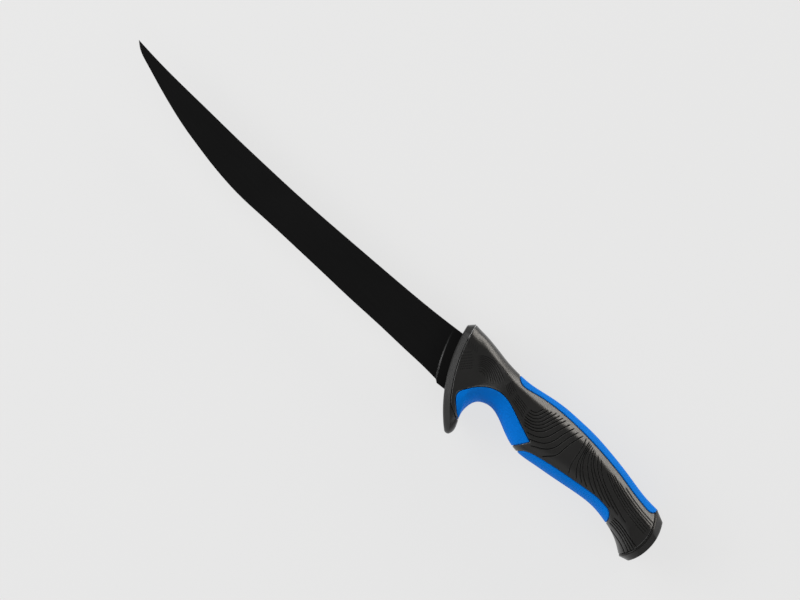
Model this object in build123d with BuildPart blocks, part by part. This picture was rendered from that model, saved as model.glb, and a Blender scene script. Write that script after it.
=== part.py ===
"""Fillet knife: a thin ground blade whose hidden tang is moulded into a grip of hard and soft plastics."""

from build123d import *
import os
from math import cos, hypot, pi

os.makedirs("parts", exist_ok=True)

# The side view lies in XY: X runs from the blade's tip to the butt, Y from the edge to the spine, Z through the
# thickness. X is zero at the waist behind the finger groove and Y is zero on the blade's axis while the pieces
# are built. At the end all pieces move together, so that the knife lies on its side on the plane Z = 0.

# Blade, in millimetres
blade_length = 228.6        # from the guard to the tip, 9 inches
blade_rise = 13.7           # spine above the axis, at the guard
blade_fall = 13.3           # ground edge below the axis, at the guard
spine_thickness = 2.2       # stock thickness, kept at the ricasso and the tang
tip_thickness = 0.7         # spine thickness at the tip
edge_thickness = 0.3        # thickness left at the ground edge
ricasso_length = 4.8        # flat, unground band ahead of the guard
heel_step = 1.0             # the unground heel stands this much below the ground edge
heel_bevel = 1.7            # length of the slope down to the heel

# Tang, hidden in the grip
tang_length = 108.0
tang_end_rise = 12.5        # top of the tang's end above the axis
tang_foot_rise = 2.2        # bottom of the tang above the axis
shoulder_reach = 12.8       # from the guard's front to the foot of the shoulder
shoulder_run = 10.0         # length of the sloping shoulder
tang_corner_radius = 1.5
tang_hole_radius = 2.6      # the core's plastic flows through these holes
tang_hole_count = 3
tang_hole_setback = 38.0    # first hole behind the guard's front
tang_hole_inset = 16.0      # last hole ahead of the tang's end

# Grip
head_length = 38.0          # guard's top corner to the waist
palm_length = 107.0         # waist to the butt's end
guard_rise = 21.3           # top of the guard above the axis
prong_drop = 29.5           # tip of the guard's prong below the axis
palm_rise = 24.5            # top of the palm swell above the axis
belly_drop = 10.1           # deepest point of the belly below the axis
guard_half_width = 13.6
waist_half_width = 9.7
palm_half_width = 12.5
neck_half_width = 11.9
butt_half_width = 13.9
rest_half_width = 13.5      # flats on which the knife lies on either side
skin = 2.6                  # soft layer over the hard core
moulding_gap = 0.25         # between the core and the soft layer
fit_gap = 0.1               # between the tang and the plastic round it
seam_gap = 0.3              # dark seam round each inlay, guard and cap
guard_band = 3.6            # depth of the guard behind its front
cap_band = 4.4              # depth of the butt cap ahead of its end
guard_bevel = 2.8
cap_bevel = 3.4
overrun = 10.0              # how far a cutter reaches past what it cuts
half_turn = 180             # degrees; it keeps a disc's seam line off the butt

# Shape of one rib's oval: depth of its crown and keel, and fullness of their curves
crown_share = 0.42
keel_share = 0.40
fullness_share = 0.58

# Places in the side view are two shares. The first is along the grip: a negative one is ahead of the waist, in
# head lengths, any other is behind it, in palm lengths. The second is across: above the axis in guard or palm
# rises, below it in prong or belly drops.

# Ribs of the grip, from ahead of the guard to behind the butt: top end, then bottom end
rib_shares = (
    (-1.237, 1.005, -0.474, -1.120),
    (-1.000, 1.000, -0.225, -1.015),
    (-0.868, 0.990, -0.175, -0.860),
    (-0.737, 0.986, -0.255, -0.610),
    (-0.605, 0.967, -0.276, -0.407),
    (-0.474, 0.940, -0.237, -0.240),
    (-0.316, 0.906, -0.132, -0.140),
    (-0.105, 0.892, 0.000, -0.337),
    (0.047, 0.800, 0.065, -0.525),
    (0.140, 0.886, 0.150, -0.871),
    (0.234, 0.959, 0.234, -1.000),
    (0.327, 0.988, 0.327, -0.850),
    (0.420, 1.000, 0.420, -0.670),
    (0.551, 0.967, 0.551, -0.396),
    (0.673, 0.906, 0.673, -0.248),
    (0.757, 0.849, 0.757, -0.347),
    (0.822, 0.816, 0.822, -0.505),
    (0.888, 0.810, 0.883, -0.802),
    (0.944, 0.812, 0.935, -1.120),
    (1.028, 0.829, 1.019, -1.340),
)

# Where along the grip each half width holds
width_place_shares = (-0.50, 0.00, 0.42, 0.68, 0.94)
half_widths = (guard_half_width, waist_half_width, palm_half_width, neck_half_width, butt_half_width)

# Three points of the guard's front arc and of the butt's end arc
guard_arc_shares = ((-1.047, 0.845), (-0.904, 0.094), (-0.295, -0.949))
butt_arc_shares = ((0.972, 0.612), (1.000, 0.122), (0.977, -0.842))

# Seam across the prong, from the guard's band to the finger side
prong_seam_shares = ((-0.515, -0.541), (-0.289, -0.675), (-0.105, -0.688))

# Seam lines of the three coloured inlays; each line ends outside the grip
choil_seam_shares = (
    (-0.158, -0.671),
    (-0.255, -0.631),
    (-0.382, -0.525),
    (-0.495, -0.346),
    (-0.447, -0.186),
    (-0.316, 0.038),
    (-0.158, 0.216),
    (0.000, 0.224),
    (0.065, 0.163),
    (0.140, 0.049),
    (0.232, -0.198),
)
choil_end_share = (0.168, -1.310)
belly_seam_shares = (
    (0.215, -1.168),
    (0.243, -0.792),
    (0.271, -0.614),
    (0.327, -0.431),
    (0.411, -0.218),
    (0.505, -0.030),
    (0.589, 0.053),
    (0.654, 0.090),
    (0.701, 0.088),
    (0.734, 0.061),
    (0.755, -0.050),
    (0.768, -0.396),
    (0.774, -0.644),
)
spine_seam_shares = (
    (-0.092, 0.967),
    (-0.053, 0.883),
    (0.000, 0.698),
    (0.028, 0.671),
    (0.065, 0.702),
    (0.131, 0.776),
    (0.215, 0.837),
    (0.327, 0.869),
    (0.439, 0.867),
    (0.551, 0.839),
    (0.673, 0.780),
    (0.776, 0.710),
    (0.850, 0.676),
    (0.888, 0.692),
    (0.903, 0.776),
    (0.907, 0.878),
)
above_grip_share = 1.4

# Blade outline: along the blade from the guard in blade lengths, then across in blade rises or falls
spine_line_shares = (
    (0.030, 0.934),
    (0.073, 0.839),
    (0.160, 0.686),
    (0.250, 0.562),
    (0.335, 0.453),
    (0.420, 0.347),
    (0.510, 0.255),
    (0.600, 0.197),
    (0.690, 0.153),
    (0.790, 0.131),
    (0.880, 0.109),
    (0.950, 0.124),
    (1.000, 0.161),
)
edge_line_shares = (
    (1.000, 0.161),
    (0.985, -0.030),
    (0.950, -0.259),
    (0.900, -0.511),
    (0.850, -0.744),
    (0.790, -0.977),
    (0.735, -1.128),
    (0.690, -1.233),
    (0.645, -1.305),
    (0.600, -1.338),
    (0.510, -1.278),
    (0.420, -1.218),
    (0.340, -1.173),
    (0.250, -1.128),
    (0.160, -1.056),
    (0.073, -1.012),
    (0.030, -0.985),
    (-0.011, -0.992),
)
# Sections of the grinding wheel's cut: along the blade, then the heights of spine and edge there
grind_shares = (
    (-0.080, 1.090, -0.980),
    (0.030, 0.934, -0.990),
    (0.160, 0.686, -1.056),
    (0.335, 0.453, -1.170),
    (0.510, 0.255, -1.278),
    (0.600, 0.197, -1.320),
    (0.690, 0.153, -1.233),
    (0.790, 0.131, -0.977),
    (0.880, 0.109, -0.610),
    (0.950, 0.124, -0.300),
    (1.040, 0.180, -0.150),
)


def side_point(along, across):
    """A point of the side view from its two shares."""
    ahead = along < 0
    x = along * (head_length if ahead else palm_length)
    if across > 0:
        return x, across * (guard_rise if ahead else palm_rise)
    return x, across * (prong_drop if ahead else belly_drop)


def side_points(shares):
    return [side_point(along, across) for along, across in shares]


def circle_through(first, second, third):
    """Centre and radius of the circle through three points."""
    ax, ay = second[0] - first[0], second[1] - first[1]
    bx, by = third[0] - first[0], third[1] - first[1]
    turn = 2 * (ax * by - ay * bx)
    cx = (by * (ax * ax + ay * ay) - ay * (bx * bx + by * by)) / turn
    cy = (ax * (bx * bx + by * by) - bx * (ax * ax + ay * ay)) / turn
    return (first[0] + cx, first[1] + cy), hypot(cx, cy)


guard_centre, guard_radius = circle_through(*side_points(guard_arc_shares))
butt_centre, butt_radius = circle_through(*side_points(butt_arc_shares))
root_x = side_point(*guard_arc_shares[1])[0]     # the guard's front on the blade's axis
tall = prong_drop + palm_rise                    # taller than anything in the side view
ahead_x = root_x - tall
behind_x = palm_length + tall


def blade_point(along, across):
    """A point of the blade's outline from its two shares."""
    return root_x - along * blade_length, across * (blade_rise if across > 0 else blade_fall)


def half_width_at(place):
    """Half the grip's width at a place along it, eased between the named widths."""
    if place <= width_place_shares[0]:
        return half_widths[0]
    for start, end, width, next_width in zip(
        width_place_shares, width_place_shares[1:], half_widths, half_widths[1:]
    ):
        if place <= end:
            ease = (1 - cos(pi * (place - start) / (end - start))) / 2
            return width + ease * (next_width - width)
    return half_widths[-1]


tops = [side_point(a, b) for a, b, c, d in rib_shares]
bottoms = [side_point(c, d) for a, b, c, d in rib_shares]


def grip_form(inset):
    """The grip's smooth form, lofted through its ribs, or the same form a given depth below its surface."""
    with BuildPart() as form:
        for number, (top, bottom) in enumerate(zip(tops, bottoms)):
            height = hypot(top[0] - bottom[0], top[1] - bottom[1])
            direction = ((top[0] - bottom[0]) / height, (top[1] - bottom[1]) / height)
            low, high = inset, height - inset
            half = half_width_at((rib_shares[number][0] + rib_shares[number][2]) / 2) - inset
            crown = high - crown_share * (high - low)
            keel = low + keel_share * (high - low)
            crown_pull = crown + fullness_share * (high - crown)
            keel_pull = keel - fullness_share * (keel - low)
            pull = fullness_share * half
            rib_plane = Plane(
                origin=(bottom[0], bottom[1], 0), x_dir=(*direction, 0), z_dir=(direction[1], -direction[0], 0)
            )
            with BuildSketch(rib_plane):
                with BuildLine():
                    Line((keel, half), (crown, half))
                    Bezier((crown, half), (crown_pull, half), (high, pull), (high, 0))
                    Bezier((high, 0), (high, -pull), (crown_pull, -half), (crown, -half))
                    Line((crown, -half), (keel, -half))
                    Bezier((keel, -half), (keel_pull, -half), (low, -pull), (low, 0))
                    Bezier((low, 0), (low, pull), (keel_pull, half), (keel, half))
                make_face()
        loft()
    return form.part


def zone(sketch):
    """A side view region as a prism through the whole thickness."""
    with BuildPart() as prism:
        add(sketch)
        extrude(amount=rest_half_width + overrun, both=True)
    return prism.part


def guard_zone(grown):
    """Everything ahead of the guard's rear seam, with the prong, grown by a gap."""
    with BuildSketch() as region:
        with Locations(guard_centre):
            Circle(guard_radius + tall)
            Circle(guard_radius - guard_band, mode=Mode.SUBTRACT)
        with BuildLine():
            seam = side_points(prong_seam_shares)
            Polyline(*seam, (seam[-1][0], -tall), (seam[0][0], -tall), close=True)
        make_face()
        with BuildLine():
            Polyline((ahead_x, -tall), (0, -tall), (0, tall), (ahead_x, tall), close=True)
        make_face(mode=Mode.INTERSECT)
        if grown:
            offset(amount=grown)
    return zone(region.sketch)


def arc_end_zone(centre, turn, radius, end_x):
    """Everything on one side of an end arc: a disc round the arc's centre and all that lies beyond the centre."""
    with BuildSketch() as region:
        with Locations(Location((*centre, 0), (0, 0, turn))):
            Circle(radius)
        with BuildLine():
            Polyline((centre[0], -tall), (end_x, -tall), (end_x, tall), (centre[0], tall), close=True)
        make_face()
    return zone(region.sketch)


def behind_guard_front():
    """Everything behind the guard's front arc."""
    return arc_end_zone(guard_centre, 0, guard_radius, behind_x)


def ahead_of_butt(depth):
    """Everything ahead of the butt's end arc, or of an arc a given depth ahead of it."""
    return arc_end_zone(butt_centre, half_turn, butt_radius - depth, ahead_x)


def grown_outline(points, gap):
    """A closed outline with every point moved outwards, by a gap square to the lines that meet there."""
    area = sum(a[0] * b[1] - b[0] * a[1] for a, b in zip(points, points[1:] + points[:1]))
    outward = gap if area > 0 else -gap
    moved = []
    for before, point, after in zip(points[-1:] + points[:-1], points, points[1:] + points[:1]):
        first = (Vector(point) - Vector(before)).normalized()
        second = (Vector(after) - Vector(point)).normalized()
        normal = Vector(first.Y + second.Y, -first.X - second.X)
        shift = normal * (outward / (1 + first.dot(second)))
        moved.append((point[0] + shift.X, point[1] + shift.Y))
    return moved


def inlay_zone(seam, closing, gap):
    """The region between a curved seam line and the outside of the grip, grown by a gap."""
    outline = grown_outline(seam + closing, gap)
    curved, straight = outline[: len(seam)], outline[len(seam):]
    with BuildSketch() as region:
        with BuildLine():
            Spline(*curved)
            Polyline(curved[-1], *straight, curved[0])
        make_face()
    return zone(region.sketch)


def keel_zone(depth):
    """Everything below the grip's lower outline, and above it up to a given depth in the grip."""
    return inlay_zone(bottoms, [(bottoms[-1][0], -tall), (bottoms[0][0], -tall)], depth)


choil_seam = side_points(choil_seam_shares)
choil_close = [side_point(*choil_end_share)]
belly_seam = side_points(belly_seam_shares)
spine_seam = side_points(spine_seam_shares)
spine_close = [
    side_point(spine_seam_shares[-1][0], above_grip_share),
    side_point(spine_seam_shares[0][0], above_grip_share),
]

# The whole grip as one body: its form trimmed to the front and end arcs, bevelled round both ends, with flats
with BuildPart() as body:
    add(grip_form(0))
    add(behind_guard_front(), mode=Mode.INTERSECT)
    add(ahead_of_butt(0), mode=Mode.INTERSECT)
    ends = body.faces().filter_by(GeomType.CYLINDER).sort_by(Axis.X)
    chamfer(ends[0].edges(), guard_bevel)
    ends = body.faces().filter_by(GeomType.CYLINDER).sort_by(Axis.X)
    chamfer(ends[-1].edges(), cap_bevel)
    with BuildSketch(Plane.XY.offset(-rest_half_width)):
        with BuildLine():
            Polyline((ahead_x, -tall), (behind_x, -tall), (behind_x, tall), (ahead_x, tall), close=True)
        make_face()
    extrude(amount=2 * rest_half_width, mode=Mode.INTERSECT)

# Corners of the tang's outline, from the spine at the guard round to the heel
spine_points = [blade_point(*shares) for shares in spine_line_shares]
edge_points = [blade_point(*shares) for shares in edge_line_shares]
tang_end_x = root_x + tang_length
heel = (edge_points[-1][0] + heel_bevel, -blade_fall - heel_step)
tang_corners = (
    (root_x, blade_rise),
    (tang_end_x, tang_end_rise),
    (tang_end_x, tang_foot_rise),
    (root_x + shoulder_reach + shoulder_run, tang_foot_rise),
    (root_x + shoulder_reach, -blade_fall),
    heel,
)
tang_hole_y = (tang_end_rise + tang_foot_rise) / 2
tang_hole_run = tang_length - tang_hole_setback - tang_hole_inset
tang_holes = [
    (root_x + tang_hole_setback + tang_hole_run * number / (tang_hole_count - 1), tang_hole_y)
    for number in range(tang_hole_count)
]

with BuildPart() as grinding:
    for along, spine_share, edge_share in grind_shares:
        x, spine_y = blade_point(along, spine_share)
        edge_y = blade_point(along, edge_share)[1]
        share = min(max(along, 0), 1)
        at_spine = (spine_thickness + share * (tip_thickness - spine_thickness)) / 2
        at_edge = edge_thickness / 2
        reach = overrun / (spine_y - edge_y) * (at_spine - at_edge)
        with BuildSketch(Plane(origin=(x, 0, 0), x_dir=(0, 1, 0), z_dir=(1, 0, 0))):
            with BuildLine():
                Polyline(
                    (spine_y + overrun, at_spine + reach),
                    (edge_y - overrun, at_edge - reach),
                    (edge_y - overrun, spine_thickness),
                    (spine_y + overrun, spine_thickness),
                    close=True,
                )
            make_face()
    loft()
    with BuildSketch(Plane.XY.offset(-spine_thickness)):
        with Locations(guard_centre):
            Circle(guard_radius + ricasso_length)
    extrude(amount=2 * spine_thickness + overrun, mode=Mode.SUBTRACT)

with BuildPart() as blade:
    with BuildSketch() as blank:
        with BuildLine():
            Spline(tang_corners[0], *spine_points)
            Spline(*edge_points)
            Polyline(edge_points[-1], *reversed(tang_corners))
        make_face()
        fillet(blank.vertices().sort_by(Axis.X)[-2:], tang_corner_radius)
        with Locations(*tang_holes):
            Circle(tang_hole_radius, mode=Mode.SUBTRACT)
    extrude(amount=spine_thickness / 2, both=True)
    add(grinding.part, mode=Mode.SUBTRACT)
    add(mirror(grinding.part, about=Plane.XY, mode=Mode.PRIVATE), mode=Mode.SUBTRACT)

# The slot and pocket that the tang leaves in the plastic round it
with BuildPart() as pocket:
    with BuildSketch():
        with BuildLine():
            Polyline(*tang_corners, (spine_points[0][0], heel[1]), spine_points[0], close=True)
        make_face()
        with Locations(*tang_holes):
            Circle(tang_hole_radius, mode=Mode.SUBTRACT)
        offset(amount=fit_gap, kind=Kind.INTERSECTION)
    extrude(amount=spine_thickness / 2 + fit_gap, both=True)

with BuildPart() as finger_guard:
    add(body.part)
    add(guard_zone(0), mode=Mode.INTERSECT)
    add(pocket.part, mode=Mode.SUBTRACT)

with BuildPart() as butt_cap:
    add(body.part)
    add(ahead_of_butt(cap_band), mode=Mode.SUBTRACT)

with BuildPart() as handle_core:
    add(grip_form(skin + moulding_gap))
    add(keel_zone(skin + moulding_gap), mode=Mode.SUBTRACT)
    add(guard_zone(seam_gap), mode=Mode.SUBTRACT)
    add(ahead_of_butt(cap_band + seam_gap), mode=Mode.INTERSECT)
    add(pocket.part, mode=Mode.SUBTRACT)

with BuildPart() as cavity:
    add(grip_form(skin))
    add(keel_zone(skin), mode=Mode.SUBTRACT)

# The soft layer round the core, before its inlays are parted from it
with BuildPart() as layer:
    add(body.part)
    add(guard_zone(seam_gap), mode=Mode.SUBTRACT)
    add(ahead_of_butt(cap_band + seam_gap), mode=Mode.INTERSECT)
    add(cavity.part, mode=Mode.SUBTRACT)

with BuildPart() as grip_sleeve:
    add(layer.part)
    add(inlay_zone(choil_seam, choil_close, seam_gap), mode=Mode.SUBTRACT)
    add(inlay_zone(belly_seam, [], seam_gap), mode=Mode.SUBTRACT)
    add(inlay_zone(spine_seam, spine_close, seam_gap), mode=Mode.SUBTRACT)

with BuildPart() as choil_pad:
    add(layer.part)
    add(inlay_zone(choil_seam, choil_close, 0), mode=Mode.INTERSECT)

with BuildPart() as belly_strip:
    add(layer.part)
    add(inlay_zone(belly_seam, [], 0), mode=Mode.INTERSECT)

with BuildPart() as spine_strip:
    add(layer.part)
    add(inlay_zone(spine_seam, spine_close, 0), mode=Mode.INTERSECT)

blade.part.label = "blade"
handle_core.part.label = "handle_core"
finger_guard.part.label = "finger_guard"
grip_sleeve.part.label = "grip_sleeve"
choil_pad.part.label = "choil_pad"
belly_strip.part.label = "belly_strip"
spine_strip.part.label = "spine_strip"
butt_cap.part.label = "butt_cap"
pieces = [blade, handle_core, finger_guard, grip_sleeve, choil_pad, belly_strip, spine_strip, butt_cap]

# Move the knife so that the origin lies in the middle of its outline, on the plane it rests on
whole = Compound([piece.part for piece in pieces]).bounding_box()
resting = Location((-(whole.min.X + whole.max.X) / 2, -(whole.min.Y + whole.max.Y) / 2, -whole.min.Z))
for piece in pieces:
    piece.part.move(resting)
print("moved by", resting.position)

export_step(blade.part, "parts/blade.step")
export_step(handle_core.part, "parts/handle_core.step")
export_step(finger_guard.part, "parts/finger_guard.step")
export_step(grip_sleeve.part, "parts/grip_sleeve.step")
export_step(choil_pad.part, "parts/choil_pad.step")
export_step(belly_strip.part, "parts/belly_strip.step")
export_step(spine_strip.part, "parts/spine_strip.step")
export_step(butt_cap.part, "parts/butt_cap.step")
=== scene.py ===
"""Fillet knife lying on its side: the visible pieces and their finishes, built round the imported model."""

import logging
import math
from dataclasses import dataclass, field
from enum import Enum
from typing import Callable, Mapping, Optional, Sequence, Union

import bmesh
import bpy
import numpy as np
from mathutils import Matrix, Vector


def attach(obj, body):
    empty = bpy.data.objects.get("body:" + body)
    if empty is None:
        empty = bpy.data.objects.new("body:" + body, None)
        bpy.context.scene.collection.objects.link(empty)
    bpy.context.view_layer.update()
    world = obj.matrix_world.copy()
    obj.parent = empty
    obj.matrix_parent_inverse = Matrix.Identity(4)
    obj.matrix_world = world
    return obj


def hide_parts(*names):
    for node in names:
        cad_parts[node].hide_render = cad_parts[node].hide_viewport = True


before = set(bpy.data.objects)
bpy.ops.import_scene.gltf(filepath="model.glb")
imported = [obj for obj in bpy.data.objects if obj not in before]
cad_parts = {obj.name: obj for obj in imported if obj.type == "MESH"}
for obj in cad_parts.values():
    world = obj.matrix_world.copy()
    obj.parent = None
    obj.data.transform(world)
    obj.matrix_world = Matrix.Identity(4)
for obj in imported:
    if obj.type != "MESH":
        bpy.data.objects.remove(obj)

LOG = logging.getLogger("fillet_knife")
BODY = "root"
MM = 0.001
TROUGH = "trough"

Array = np.ndarray
Points = Sequence[tuple[float, float]]
Tone = tuple[float, float, float]
Inputs = Mapping[Union[str, int], object]

# How finely curves are sampled, how closely points are welded and how far a slope is read apart
TINY = 1e-12
SEGMENTS_AT_ONCE = 24
CROSSING_STEPS = 700
SEAM_POINTS = 160
FINE_SEAM = 1500
OUTLINE_POINTS = 1500
WELD_DIGITS = 5
NUDGE = 1e-3

# To the other side of the side view's plane
FLIP = (1.0, 1.0, -1.0)
# A bevel is at least this many times as long as the easing of its edges
LEAST_BEVEL = 2.5
# Edges steeper than this many degrees stay crisp: on any piece, the blade and the sleeve
SHARP, BLADE_SHARP, SLEEVE_SHARP = 40.0, 25.0, 62.0

# How rich the clouds are, and how fast a noise's finer layers fade
CLOUD_DETAIL, NOISE_ROUGHNESS = 3.0, 0.55

# Shares of the grip's length where the guard, its front and the cap are looked for
GUARD_SEARCH, FRONT_SEARCH, CAP_SEARCH = 0.42, 0.3, 0.7
# A circle whose centre lies ahead of this place is the guard's, and the butt's faces the other way
BUTT_SIDE = 60.0
# The rib that the oval's lengths are tabled on
TYPICAL_HEIGHT, TYPICAL_HALF_WIDTH, TYPICAL_CROWN = 30.0, 12.0, 0.30
# Two crowns, which rise at the same shares and differ in how fast they narrow, and their facets' slopes
GENTLE_SLOPE, STEEP_SLOPE = 0.425, 0.70
GENTLE_CROWN = ((-0.15, 1.0), (0.15, 1.0), (0.55, 0.83), (0.85, 0.66), (1.0, 0.4), (1.0, -0.4))
STEEP_CROWN = ((-0.15, 1.0), (0.15, 1.0), (0.55, 0.72), (0.85, 0.48), (1.0, 0.26), (1.0, -0.26))


def ease(low: float, high: float, value: Array) -> Array:
    """Smooth step: 0 below low, 1 above high and 3s^2 - 2s^3 between them, s being the share of the way.

    Args:
        low: Where the step starts.
        high: Where the step ends.
        value: The places to read it at.

    Returns:
        The step at each place.
    """
    share = np.clip((value - low) / (high - low), 0.0, 1.0)
    return share * share * (3.0 - 2.0 * share)


class CubicCurve:
    """Natural cubic through values at rising knots.

    On each span of length w, with a and b the shares of the way back and on, the curve is
    a p0 + b p1 + ((a^3 - a) m0 + (b^3 - b) m1) w^2 / 6, and the bends m keep its slope continuous.
    """

    def __init__(self, knots: Array, values: Array) -> None:
        """Works out the bends at the knots.

        Args:
            knots: The rising places of the values.
            values: One row of numbers for each knot.
        """
        self.knots = np.asarray(knots, float)
        self.values = np.asarray(values, float).reshape(len(self.knots), -1)
        width = np.diff(self.knots)
        slope = np.diff(self.values, axis=0) / width[:, None]
        system = np.eye(len(self.knots))
        pull = np.zeros_like(self.values)
        inner = np.arange(1, len(self.knots) - 1)
        system[inner, inner - 1] = width[:-1]
        system[inner, inner] = 2.0 * (width[:-1] + width[1:])
        system[inner, inner + 1] = width[1:]
        pull[1:-1] = 6.0 * np.diff(slope, axis=0)
        self.bends = np.linalg.solve(system, pull)

    def __call__(self, places: Array) -> Array:
        """The curve's values at the places, with one more axis for the value's numbers.

        Args:
            places: Where along the knots to read it.

        Returns:
            One row of numbers for each place.
        """
        places = np.asarray(places, float)
        span = np.clip(np.searchsorted(self.knots, places) - 1, 0, len(self.knots) - 2)
        width = self.knots[span + 1] - self.knots[span]
        on = ((places - self.knots[span]) / width)[..., None]
        back = 1.0 - on
        square = (width**2 / 6.0)[..., None]
        bend = (back**3 - back) * self.bends[span] + (on**3 - on) * self.bends[span + 1]
        return back * self.values[span] + on * self.values[span + 1] + square * bend


def curve_through(points: Points, count: int) -> Array:
    """A smooth line through given points, with the chords between them as its knots.

    Args:
        points: The points of the side view.
        count: How many points the line gets.

    Returns:
        The line's points, one to a row.
    """
    given = np.asarray(points, float)
    knots = np.concatenate([[0.0], np.cumsum(np.hypot(*np.diff(given, axis=0).T))])
    even = np.linspace(0.0, knots[-1], count)
    if len(given) < 3:
        return np.stack([np.interp(even, knots, given[:, k]) for k in (0, 1)], 1)
    return CubicCurve(knots, given)(even)


def nearest_on_line(places: Array, starts: Array, ends: Array) -> tuple[Array, Array]:
    """Shortest distance from each place to a chain of straight segments, and where along it that is.

    The foot on a segment is at the share ((p - a) . (b - a)) / |b - a|^2, kept between 0 and 1.

    Args:
        places: Places in the side view, one to a row.
        starts: First ends of the segments.
        ends: Second ends of the segments.

    Returns:
        One distance for each place, and the number of the nearest segment plus the share along it.
    """
    nearest = np.full(len(places), np.inf)
    along = np.zeros(len(places))
    row = np.arange(len(places))
    for first in range(0, len(starts), SEGMENTS_AT_ONCE):
        a, b = starts[first : first + SEGMENTS_AT_ONCE], ends[first : first + SEGMENTS_AT_ONCE]
        run = b - a
        offset = places[:, None, :] - a[None]
        share = np.clip((offset * run).sum(-1) / np.maximum((run * run).sum(-1), TINY), 0.0, 1.0)
        gap = offset - share[..., None] * run
        square = (gap * gap).sum(-1)
        best = square.argmin(1)
        closer = square[row, best] < nearest
        nearest = np.where(closer, square[row, best], nearest)
        along = np.where(closer, first + best + share[row, best], along)
    return np.sqrt(nearest), along


@dataclass
class Region:
    """A closed region of the side view, bounded by a seam line and the straight lines that close it."""

    seam: Array
    closing: Array

    def depth(self, places: Array) -> Array:
        """How far inside the region each place lies; the number is negative outside it.

        Args:
            places: Places in the side view, one to a row.

        Returns:
            One distance for each place.
        """
        line = np.concatenate([self.seam, self.closing])
        following = np.roll(line, -1, axis=0)
        distance, _ = nearest_on_line(places, line, following)
        inside = np.zeros(len(places), bool)
        for (ax, ay), (bx, by) in zip(line, following):
            spans = (ay > places[:, 1]) != (by > places[:, 1])
            rise = by - ay if abs(by - ay) > TINY else TINY
            inside ^= spans & (places[:, 0] < ax + (places[:, 1] - ay) / rise * (bx - ax))
        return np.where(inside, distance, -distance)


@dataclass(frozen=True)
class GripSizes:
    """The grip's sizes in millimetres.

    Lengths, rises, drops, widths and bands are the solids' own; the crown shares and facet slopes follow
    the photo; to_origin leads to the knife's origin.
    """

    head_length: float = 38.0
    palm_length: float = 107.0
    guard_rise: float = 21.3
    prong_drop: float = 29.5
    palm_rise: float = 24.5
    belly_drop: float = 10.1
    half_widths: tuple[float, ...] = (13.6, 9.7, 12.5, 11.9, 13.9)
    width_places: tuple[float, ...] = (-0.50, 0.00, 0.42, 0.68, 0.94)
    rest_half_width: float = 13.5
    skin: float = 2.6
    crown_places: tuple[float, ...] = (-0.62, -0.30, 0.00, 0.42, 0.68, 0.94)
    crown_shares: tuple[float, ...] = (0.130, 0.200, 0.26, 0.29, 0.34, 0.37)
    facet_slopes: tuple[float, ...] = (0.53, 0.68, 0.80, 0.79, 0.80, 0.80)
    keel_share: float = 0.40
    fullness: float = 0.58
    guard_band: float = 3.6
    cap_band: float = 4.4
    guard_bevel: float = 3.4
    cap_bevel: float = 3.4
    waist_ahead: float = 31.0
    to_origin: tuple[float, float, float] = (77.9752, 2.34717, 13.5)

    def place(self, along: float, across: float) -> tuple[float, float]:
        """A place of the side view, from its shares of the grip's lengths, rises and drops.

        Args:
            along: Share of the head's or the palm's length, negative in the head.
            across: Share of the rise or the drop there, negative below the middle.

        Returns:
            The place in millimetres.
        """
        ahead = along < 0
        x = along * (self.head_length if ahead else self.palm_length)
        if across > 0:
            return x, across * (self.guard_rise if ahead else self.palm_rise)
        return x, across * (self.prong_drop if ahead else self.belly_drop)

    def places(self, shares: Points) -> Array:
        """Several places of the side view from their shares."""
        return np.array([self.place(*pair) for pair in shares])


# Ribs of the grip: top end, then bottom end, each as shares along and across
RIBS = (
    (-1.237, 1.005, -0.474, -1.12), (-1.0, 1.0, -0.225, -1.015), (-0.868, 0.99, -0.175, -0.86),
    (-0.737, 0.986, -0.255, -0.61), (-0.605, 0.967, -0.276, -0.407), (-0.474, 0.94, -0.237, -0.24),
    (-0.316, 0.906, -0.132, -0.14), (-0.105, 0.892, 0.0, -0.337), (0.047, 0.8, 0.065, -0.525),
    (0.14, 0.886, 0.15, -0.871), (0.234, 0.959, 0.234, -1.0), (0.327, 0.988, 0.327, -0.85), (0.42, 1.0, 0.42, -0.67),
    (0.551, 0.967, 0.551, -0.396), (0.673, 0.906, 0.673, -0.248), (0.757, 0.849, 0.757, -0.347),
    (0.822, 0.816, 0.822, -0.505), (0.888, 0.81, 0.883, -0.802), (0.944, 0.812, 0.935, -1.12),
    (1.028, 0.829, 1.019, -1.34),
)
GUARD_ARC = ((-1.047, 0.845), (-0.904, 0.094), (-0.295, -0.949))
BUTT_ARC = ((0.972, 0.612), (1.0, 0.122), (0.977, -0.842))
PRONG_SEAM = ((-0.515, -0.541), (-0.289, -0.675), (-0.105, -0.688))
CHOIL_SEAM = (
    (-0.158, -0.671), (-0.255, -0.631), (-0.382, -0.525), (-0.495, -0.346), (-0.447, -0.186), (-0.316, 0.038),
    (-0.158, 0.216), (0.0, 0.224), (0.065, 0.163), (0.14, 0.049), (0.232, -0.198),
)
CHOIL_END = ((0.168, -1.31),)
BELLY_SEAM = (
    (0.215, -1.168), (0.243, -0.792), (0.271, -0.614), (0.327, -0.431), (0.411, -0.218), (0.505, -0.03),
    (0.589, 0.053), (0.654, 0.09), (0.701, 0.088), (0.734, 0.061), (0.755, -0.05), (0.768, -0.396), (0.774, -0.644),
)
SPINE_SEAM = (
    (-0.092, 0.967), (-0.053, 0.883), (0.0, 0.698), (0.028, 0.671), (0.065, 0.702), (0.131, 0.776), (0.215, 0.837),
    (0.327, 0.869), (0.439, 0.867), (0.551, 0.839), (0.673, 0.78), (0.776, 0.71), (0.85, 0.676), (0.888, 0.692),
    (0.903, 0.776), (0.907, 0.878),
)
SPINE_CLOSE = ((0.907, 1.4), (-0.092, 1.4))


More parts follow.
